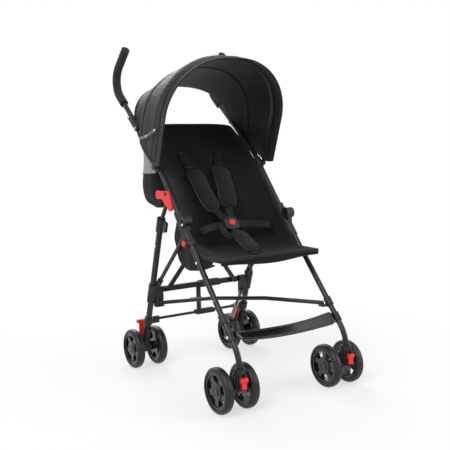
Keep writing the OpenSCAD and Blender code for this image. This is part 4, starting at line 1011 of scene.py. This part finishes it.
def strap_along(name, path, front=STRAP_OUT):
    """A strap with rounded edges along a path, its flat side toward the front. It rides on the right side, as
    the seat does.
    """
    side, up = facing(path, front)
    return gathers(carry(name, path, side, up, oval(STRAP_W, STRAP_T, 14, 6.0), WEBBING))


print("middle of the buckle", strap_place([0, 0, 0]).round(3))

# %% Straps, in millimetres from the buckle
SHOULDER = {
    "right": [[-11, 12, 0], [-29, 36, 4], [-49, 75, 8], [-55, 125, 9], [-55, 175, 7], [-60, 215, 4],
              [-67, 250, 3], [-71, 278, 4], [-72, 288, -4], [-72, 292, -12]],
    "left": [[7, 14, 0], [10, 40, 4], [19, 85, 8], [30, 130, 9], [38, 175, 7], [47, 215, 4], [59, 250, 3],
             [70, 278, 4], [72, 288, -4], [73, 292, -12]],
}
WAIST = np.array([[22, 0, 0], [50, -4, -1], [82, -12, 6], [108, -22, 14], [124, -28, 14]])
CROTCH = np.array([[0, -16, 1], [1, -45, 9], [1, -85, 24], [0, -125, 41], [0, -141, 46]])
TAIL = np.array([[-40, -12, 6], [-46, -30, 12], [-44, -50, 18], [-36, -62, 23]])
shoulder = {word: smooth_path(strap_place(np.array(rows)*1e-3), 120) for word, rows in SHOULDER.items()}
for word, path in shoulder.items():
    strap = strap_along("shoulder_strap_" + word, path)
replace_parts(strap, "harness_straps")
for word, sign in SIDES:
    strap_along("waist_strap_" + word, smooth_path(strap_place(WAIST*1e-3*[sign, 1, 1]), 60))
crotch_path = smooth_path(strap_place(CROTCH*1e-3), 60)
strap_along("crotch_strap", crotch_path, LAP_OUT)
strap_along("waist_strap_tail", smooth_path(strap_place(TAIL*1e-3), 40))
print("shoulder straps", [round(lengths(path)[-1], 3) for path in shoulder.values()], "m long")

# %% [markdown]
# ### Pads on the shoulder and crotch straps
# Each pad is a sleeve of cloth round a slice of foam. Its sewn edge stays put and its faces swell, which
# is what a cloth simulation with inner pressure does: the rows of points along the sewn edge are
# pinned, the others are blown out a few frames and stop.


# %% A sleeve blown up by a cloth simulation
BLOW_FRAMES = 20


def blown_up(piece, pinned, pressure, most):
    """Runs a short cloth simulation with inner pressure and no gravity, and keeps each point within the
    given distance of where it began. The pinned points do not move."""
    group = piece.vertex_groups.new(name="sewn")
    group.add([int(i) for i in pinned], 1.0, "REPLACE")
    start = np.zeros(3*len(piece.data.vertices))
    piece.data.vertices.foreach_get("co", start)
    cloth = piece.modifiers.new("blow", "CLOTH")
    cloth.settings.use_pressure = True
    cloth.settings.uniform_pressure_force = pressure
    cloth.settings.effector_weights.gravity = 0.0
    cloth.settings.vertex_group_mass = "sewn"
    cloth.settings.quality = 6
    cloth.point_cache.frame_end = BLOW_FRAMES
    for number in range(1, BLOW_FRAMES + 1):
        bpy.context.scene.frame_set(number)
    seen = piece.evaluated_get(bpy.context.evaluated_depsgraph_get())
    end = np.zeros_like(start)
    seen.data.vertices.foreach_get("co", end)
    piece.modifiers.remove(cloth)
    piece.vertex_groups.remove(group)
    step = (end - start).reshape(-1, 3)
    size = np.linalg.norm(step, axis=1, keepdims=True)
    moved = start.reshape(-1, 3) + step*np.minimum(1.0, most/np.maximum(size, 1e-9))
    piece.data.vertices.foreach_set("co", moved.ravel())
    piece.data.update()
    bpy.context.scene.frame_set(1)


print("sleeves are blown up over", BLOW_FRAMES, "frames")

# %% Pads on the straps
PAD_LIFT = 0.0035
SHOULDER_PAD, CROTCH_PAD = (0.046, 0.206), (0.022, 0.118)


def pad_along(name, path, front, width, thickness):
    """A flat closed sleeve along a path, narrowed and rounded at its ends, blown up between sewn edges,
    with a piping cord along each sewn edge."""
    side, up = facing(path, front)
    ends = np.linspace(-1, 1, len(path))
    round_off = (1 - np.abs(ends)**10)**0.5*0.85 + 0.15
    profile = np.stack([oval(width*k, thickness*(0.35 + 0.65*k), 28, 2.6) for k in round_off])
    middle = path + PAD_LIFT*up
    pad = carry(name, middle, side, up, profile, PAD)
    rows, cols = profile.shape[:2]
    j = np.arange(cols)
    edge = np.abs(profile[0, :, 0]) > 0.485*width*round_off[0]
    sewn = np.concatenate([(np.arange(rows)[:, None]*cols + j[edge][None]).ravel(), j, (rows - 1)*cols + j,
                           [rows*cols, rows*cols + 1]])
    blown_up(pad, sewn, pressure=4.0, most=0.004)
    gathers(pad)
    half = side*(width/2*round_off)[:, None]
    ring = np.concatenate([middle + half, (middle - half)[::-1]])
    gathers(cord_along(name + "_piping", ring, 0.0026, PIPING_AND_RIM_HIGHLIGHT, front=front, closed=True))
    return pad


for word in shoulder:
    path = smooth_path(shoulder[word], np.linspace(*SHOULDER_PAD, 60))
    pad = pad_along("shoulder_pad_" + word, path, STRAP_OUT, width=0.057, thickness=0.011)
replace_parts(pad, "harness_pads")
path = smooth_path(crotch_path, np.linspace(*CROTCH_PAD, 44))
pad_along("crotch_pad", path, LAP_OUT, width=0.052, thickness=0.009)
print("shoulder pads", len(pad.data.polygons), "faces each")

# %% [markdown]
# ### Buckle and adjusters
# The buckle is a rounded shell with a red push button. Both are made by carrying an outline along the
# buckle's thickness and drawing it in at the edges. The two slides on the shoulder straps are small
# blocks made in the same way.


# %% Rounded blocks
def rounded_block(name, middle, across, up, out, size, edge, power, finish, rows=9):
    """A block with an oval outline and rounded edges: the outline is drawn in along a quarter circle near
    the front and the back."""
    turn = np.linspace(-np.pi/2, np.pi/2, rows)
    rise = np.sin(turn)
    depth = rise*edge + np.sign(rise)*np.where(np.abs(rise) > 1e-9, size[2]/2 - edge, 0)
    draw = edge*(1 - np.cos(turn))
    outline = np.stack([oval(size[0] - 2*d, size[1] - 2*d, 40, power) for d in draw])
    path = np.asarray(middle) + depth[:, None]*np.asarray(out)
    return carry(name, path, across, up, outline, finish)


print("block tool ready")


# %% Buckle, button and strap slides
def on_buckle(name, out, *shape):
    """A block square to the strap plane, that far out from the middle of the buckle."""
    return rounded_block(name, strap_place([0, 0, 0]) + STRAP_OUT*out, ACROSS, STRAP_UP, STRAP_OUT, *shape)


SLIDE_AT = 0.228, 0.232
shell = on_buckle("buckle_shell", 0.0, (0.050, 0.048, 0.0145), 0.005, 3.6, PLASTIC)
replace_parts(rides(shell, "buckle"), "harness_buckle")
collar_ring = on_buckle("buckle_ring", 0.0068, (0.029, 0.029, 0.0022), 0.001, 2.0, GLOSS)
rides(collar_ring, "buckle")
press = on_buckle("buckle_press", 0.0070, (0.0205, 0.0205, 0.0055), 0.0022, 2.0, RED, 13)
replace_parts(rides(press, "buckle_button"), "buckle_button")
for word in shoulder:
    spot, ahead = smooth_path(shoulder[word], SLIDE_AT)
    way = unit(ahead - spot)
    slide = rounded_block("strap_slide_" + word, spot + STRAP_OUT*0.0022, unit(np.cross(way, STRAP_OUT)), way,
                          STRAP_OUT, (0.034, 0.018, 0.004), 0.0015, 5.0, PLASTIC)
    gathers(slide)
print("buckle", len(shell.data.polygons), "faces, button", len(press.data.polygons))

# %% [markdown]
# ## Rivets, stays and clips
# The joints of the frame show bright rivet heads. A rivet is a low dome on a short collar, turned about
# the frame's width. Rivets of one kind on the same body share one piece.


# %% Profile and place of a rivet head
COLLAR = 0.0008


def dome(radius, height):
    """Profile of a rivet head: a collar, then a dome whose height follows a quarter ellipse."""
    turn = np.linspace(0, np.pi/2, 7)
    head = np.stack([radius*np.cos(turn), COLLAR + height*np.sin(turn)], -1)
    foot, top = [[radius*0.98, -0.001], [radius, 0.0]], [[radius*0.12, COLLAR + height]]
    return np.concatenate([foot, head[:-1], top])


def face_of(node, yz, outward):
    """Place where a line along the width first meets a node, coming from the side it faces."""
    piece = nodes[node]
    back = piece.matrix_world.inverted()
    start = back @ Vector((0.4*outward, *yz))
    found, spot, _, _ = piece.ray_cast(start, back.to_3x3() @ Vector((-outward, 0, 0)))
    if not found:
        raise ValueError("no face of %s at %s" % (node, yz))
    return tuple(piece.matrix_world @ spot)


print("outer face of the right knuckle at x", round(face_of("knuckle_right", KNUCKLE, -1)[0], 4))


# %% Rivet heads on each side frame
def rivets(kind, word, heads, outward, profile):
    """Rivet heads on one side frame, given as (node, y, z) in millimetres, all facing outward."""
    spots = [face_of(node + "_" + word, (y*1e-3, z*1e-3), outward) for node, y, z in heads]
    piece = turned(kind + "_" + word, spots, (outward, 0, 0), profile, STEEL)
    rides(piece, word + "_side")


LOW_HEAD, BROAD_HEAD = dome(0.0042, 0.0018), dome(0.0048, 0.002)
OUTER_HEADS = [("knuckle", -84.3, 483.6), ("front_leg", -149.5, 380.7), ("front_leg", -232.0, 285.0),
               ("rear_bracket", 152.0, 262.0), ("rear_leg", 98.0, 405.0)]
INNER_HEADS = [("knuckle", -73.1, 480.6), ("foot_bracket", -296.0, 204.5)]
FOOT_HEADS = [("foot_bracket", -305.4, 200.6)]
for word, sign in SIDES:
    rivets("side_rivets", word, OUTER_HEADS, sign, LOW_HEAD)
    rivets("inner_rivets", word, INNER_HEADS, -sign, LOW_HEAD)
    rivets("foot_rivets", word, FOOT_HEADS, sign, BROAD_HEAD)
print("rivets on each side", len(OUTER_HEADS + INNER_HEADS + FOOT_HEADS))

# %% [markdown]
# ### Canopy stays and handle clips
# Beside each hinge a jointed grey stay holds the bow open, and behind it a long clip keeps the canopy's
# rear hem on the handle. A stay is two flat links with round ends that overlap at a rivet, and it goes
# with the bow. A clip is a rounded bar along the tube.


# %% Stays and clips
def flat_link(name, x, start, end, width, thickness, finish):
    """A flat bar with round ends in the plane of a side frame, between two (y, z) places."""
    start, end = np.asarray(start, float), np.asarray(end, float)
    way = unit(end - start)
    up = np.array([0.0, -way[1], way[0]])
    long = np.linalg.norm(end - start) + width
    middle = at(np.asarray(x), (start + end)/2)
    return rounded_block(name, middle, np.array([0.0, *way]), up, np.array([math.copysign(1, x), 0, 0]),
                         (long, width, thickness), thickness*0.4, 7.0, finish)


STAY = np.array([[0.1355, 0.7352], [0.0790, 0.7405], [0.0225, 0.7563]])
STAY_W, STAY_T = 0.008, 0.0025
STAY_X, STAY_HEAD_X = (0.2128, 0.2162), np.array([0.2142, 0.2180, 0.2180])
CLIP = np.array([[0.2401, 0.8060], [0.1967, 0.7695]])
CLIP_W, CLIP_T = 0.020, 0.007
CLIP_X, CLIP_HEAD_X = 0.1935, np.array([0.1968, 0.1968])
SMALL_HEAD = dome(0.0036, 0.0014)
for word, sign in SIDES:
    for kind, start, end, x in zip(("rear", "front"), STAY[:2], STAY[1:], STAY_X):
        link = flat_link("canopy_stay_%s_%s" % (kind, word), sign*x, start, end, STAY_W, STAY_T, GREY)
        gathers(link, "canopy_bow")
    heads = at(sign*STAY_HEAD_X, STAY)
    heads = turned("canopy_stay_rivets_" + word, heads, (sign, 0, 0), SMALL_HEAD, STEEL)
    gathers(heads, "canopy_bow")
    clip = flat_link("handle_clip_" + word, sign*CLIP_X, *CLIP, CLIP_W, CLIP_T, PLASTIC)
    rides(clip, word + "_side")
    heads = at(sign*CLIP_HEAD_X, CLIP)
    heads = turned("handle_clip_rivets_" + word, heads, (sign, 0, 0), SMALL_HEAD, STEEL)
    rides(heads, word + "_side")
print("stays of two links at x", STAY_X, "and clips at", CLIP_X)

# %% [markdown]
# ### Stitching on the seat
# Rows of stitches run beside the binding, twice along the seat and across the lap bend, where the back
# is joined to the seat. They are thin cords just above the cloth.

# %% Stitch lines
lines_along = [(np.linspace(0.01, 0.99, 140), np.full(140, v)) for v in (-0.93, 0.93, -0.55, 0.55)]
lines_across = [(np.full(81, r), np.linspace(-0.93, 0.93, 81)) for r in (0.03, 0.40, 0.97)]
for number, (r, v) in enumerate(lines_along + lines_across):
    i = np.clip((r*(SEAT_ROWS - 1)).round().astype(int), 0, SEAT_ROWS - 1)
    j = np.clip(((v + 1)/2*(SEAT_COLS - 1)).round().astype(int), 0, SEAT_COLS - 1)
    path = seat_grid[i, j] + seat_normal[i, j]*0.0004
    stitch = cord_along("seat_stitch_%d" % number, path, 0.0015, THREAD, 0.0012, (0.3, 0.2, 1))
    gathers(stitch)
print("stitch lines", number + 1)

# %% [markdown]
# ## Camera, floor and light
# The camera stands where the photo was taken from: the outlines of the eight wheels fix its place, its
# turn and its lens. A white studio is a pale floor and a white world for what the camera and glossy
# surfaces see, with plain soft lamps for the object itself.


# %% Camera at the photo's place
def stand(thing, right, up, back, where):
    """Stands a camera or a lamp at a place, its right, up and back directions the columns of its matrix."""
    turn = np.eye(4)
    turn[:3, :3] = np.stack([right, up, back], 1)
    turn[:3, 3] = where
    thing.matrix_world = Matrix(turn.tolist())
    bpy.context.scene.collection.objects.link(thing)
    return thing


def stand_camera(azimuth, elevation, roll, place_at, lens):
    """A camera that looks back along the direction of azimuth and elevation, rolled about its own axis."""
    a, e, r = np.radians([azimuth, elevation, roll])
    back = np.array([math.sin(a)*math.cos(e), -math.cos(a)*math.cos(e), math.sin(e)])
    right = np.array([math.cos(a), math.sin(a), 0.0])
    up = np.cross(back, right)
    right, up = right*math.cos(r) + up*math.sin(r), up*math.cos(r) - right*math.sin(r)
    data = bpy.data.cameras.new("photo_camera")
    data.sensor_width, data.lens = 36.0, lens
    camera = stand(bpy.data.objects.new("photo_camera", data), right, up, back, place_at)
    bpy.context.scene.camera = camera
    return camera


camera = stand_camera(azimuth=-32.16, elevation=5.89, roll=-1.69, place_at=(-1.1845, -1.8863, 0.6917),
                      lens=57.94)
print("camera at", tuple(round(c, 3) for c in camera.matrix_world.translation))


# %% White world
def seen_directly(tree):
    """One where the camera or a mirror-like surface looks, zero for soft light."""
    path = add(tree, "ShaderNodeLightPath").outputs
    seen = combined(tree, path["Is Camera Ray"], path["Is Glossy Ray"], "MAXIMUM")
    return combined(tree, seen, path["Is Transmission Ray"], "MAXIMUM")


def mixed_surface(tree, share, one, other, output):
    """The output shows the other shader where the share is one, and the first where it is zero."""
    mixed = add(tree, "ShaderNodeMixShader", {"Fac": share, 1: one.outputs[0], 2: other.outputs[0]})
    tree.links.new(mixed.outputs[0], tree.nodes[output].inputs["Surface"])


def white_world(soft_light):
    """A world that is white to look at and lights the object softly."""
    world = bpy.data.worlds.new("studio")
    world.use_nodes = True
    tree = world.node_tree
    shown = tree.nodes["Background"]
    shown.inputs["Color"].default_value = (1, 1, 1, 1)
    shown.inputs["Strength"].default_value = 1.0
    soft = add(tree, "ShaderNodeBackground", {"Color": (1, 1, 1, 1), "Strength": soft_light})
    mixed_surface(tree, seen_directly(tree), soft, shown, "World Output")
    bpy.context.scene.world = world


white_world(soft_light=0.5)
print("world", bpy.context.scene.world.name)


# %% Pale floor
def pale_floor(size, fade_from, fade_to):
    """A floor that takes the object's shadow near the wheels and fades to white further out."""
    finish, tree, shader = start_finish("pale_floor", (0.93, 0.93, 0.93), 0.9, Specular_IOR_Level=0.1)
    spot = add(tree, "ShaderNodeTexCoord").outputs["Object"]
    tint(tree, shader, clouds(tree, spot, 30.0, 3.0), (0.925, 0.925, 0.925), (0.935, 0.935, 0.935))
    far = add(tree, "ShaderNodeVectorMath", {0: spot}, operation="LENGTH").outputs["Value"]
    ends = {"Value": far, "From Min": fade_from, "From Max": fade_to, "To Min": 0.6}
    fade = add(tree, "ShaderNodeMapRange", ends, interpolation_type="SMOOTHSTEP").outputs[0]
    white = add(tree, "ShaderNodeEmission", {"Color": (1, 1, 1, 1), "Strength": 1.0})
    share = combined(tree, fade, seen_directly(tree), "MULTIPLY")
    mixed_surface(tree, share, shader, white, "Material Output")
    span = np.linspace(-size, size, 9)
    xy = np.stack(np.meshgrid(span, span, indexing="ij"), -1)
    points = np.concatenate([xy, np.zeros(xy.shape[:2] + (1,))], -1)
    floor = make_piece("floor", points, grid_quads(9, 9).tolist(), finish, xy)
    print("floor", 2*size, "m wide")


pale_floor(size=8.0, fade_from=0.45, fade_to=1.1)


# %% Soft lamps
def soft_lamp(name, where, toward, size, power):
    """A square area lamp that faces a place."""
    data = bpy.data.lights.new(name, "AREA")
    data.size, data.energy = size, power
    back = unit(np.subtract(where, toward))
    right = unit(np.cross((0, 0, 1), back))
    stand(bpy.data.objects.new(name, data), right, np.cross(back, right), back, where)


soft_lamp("key_lamp", (-2.4, -1.6, 2.8), toward=(0, 0, 0.5), size=1.8, power=70.0)
soft_lamp("fill_lamp", (2.2, -2.2, 1.6), toward=(0, 0, 0.5), size=1.8, power=26.0)
soft_lamp("back_lamp", (0.6, 2.6, 2.2), toward=(0, 0, 0.6), size=1.6, power=40.0)
bpy.context.scene.view_settings.view_transform = "Standard"
print("lamps", [lamp.name for lamp in bpy.data.lights])
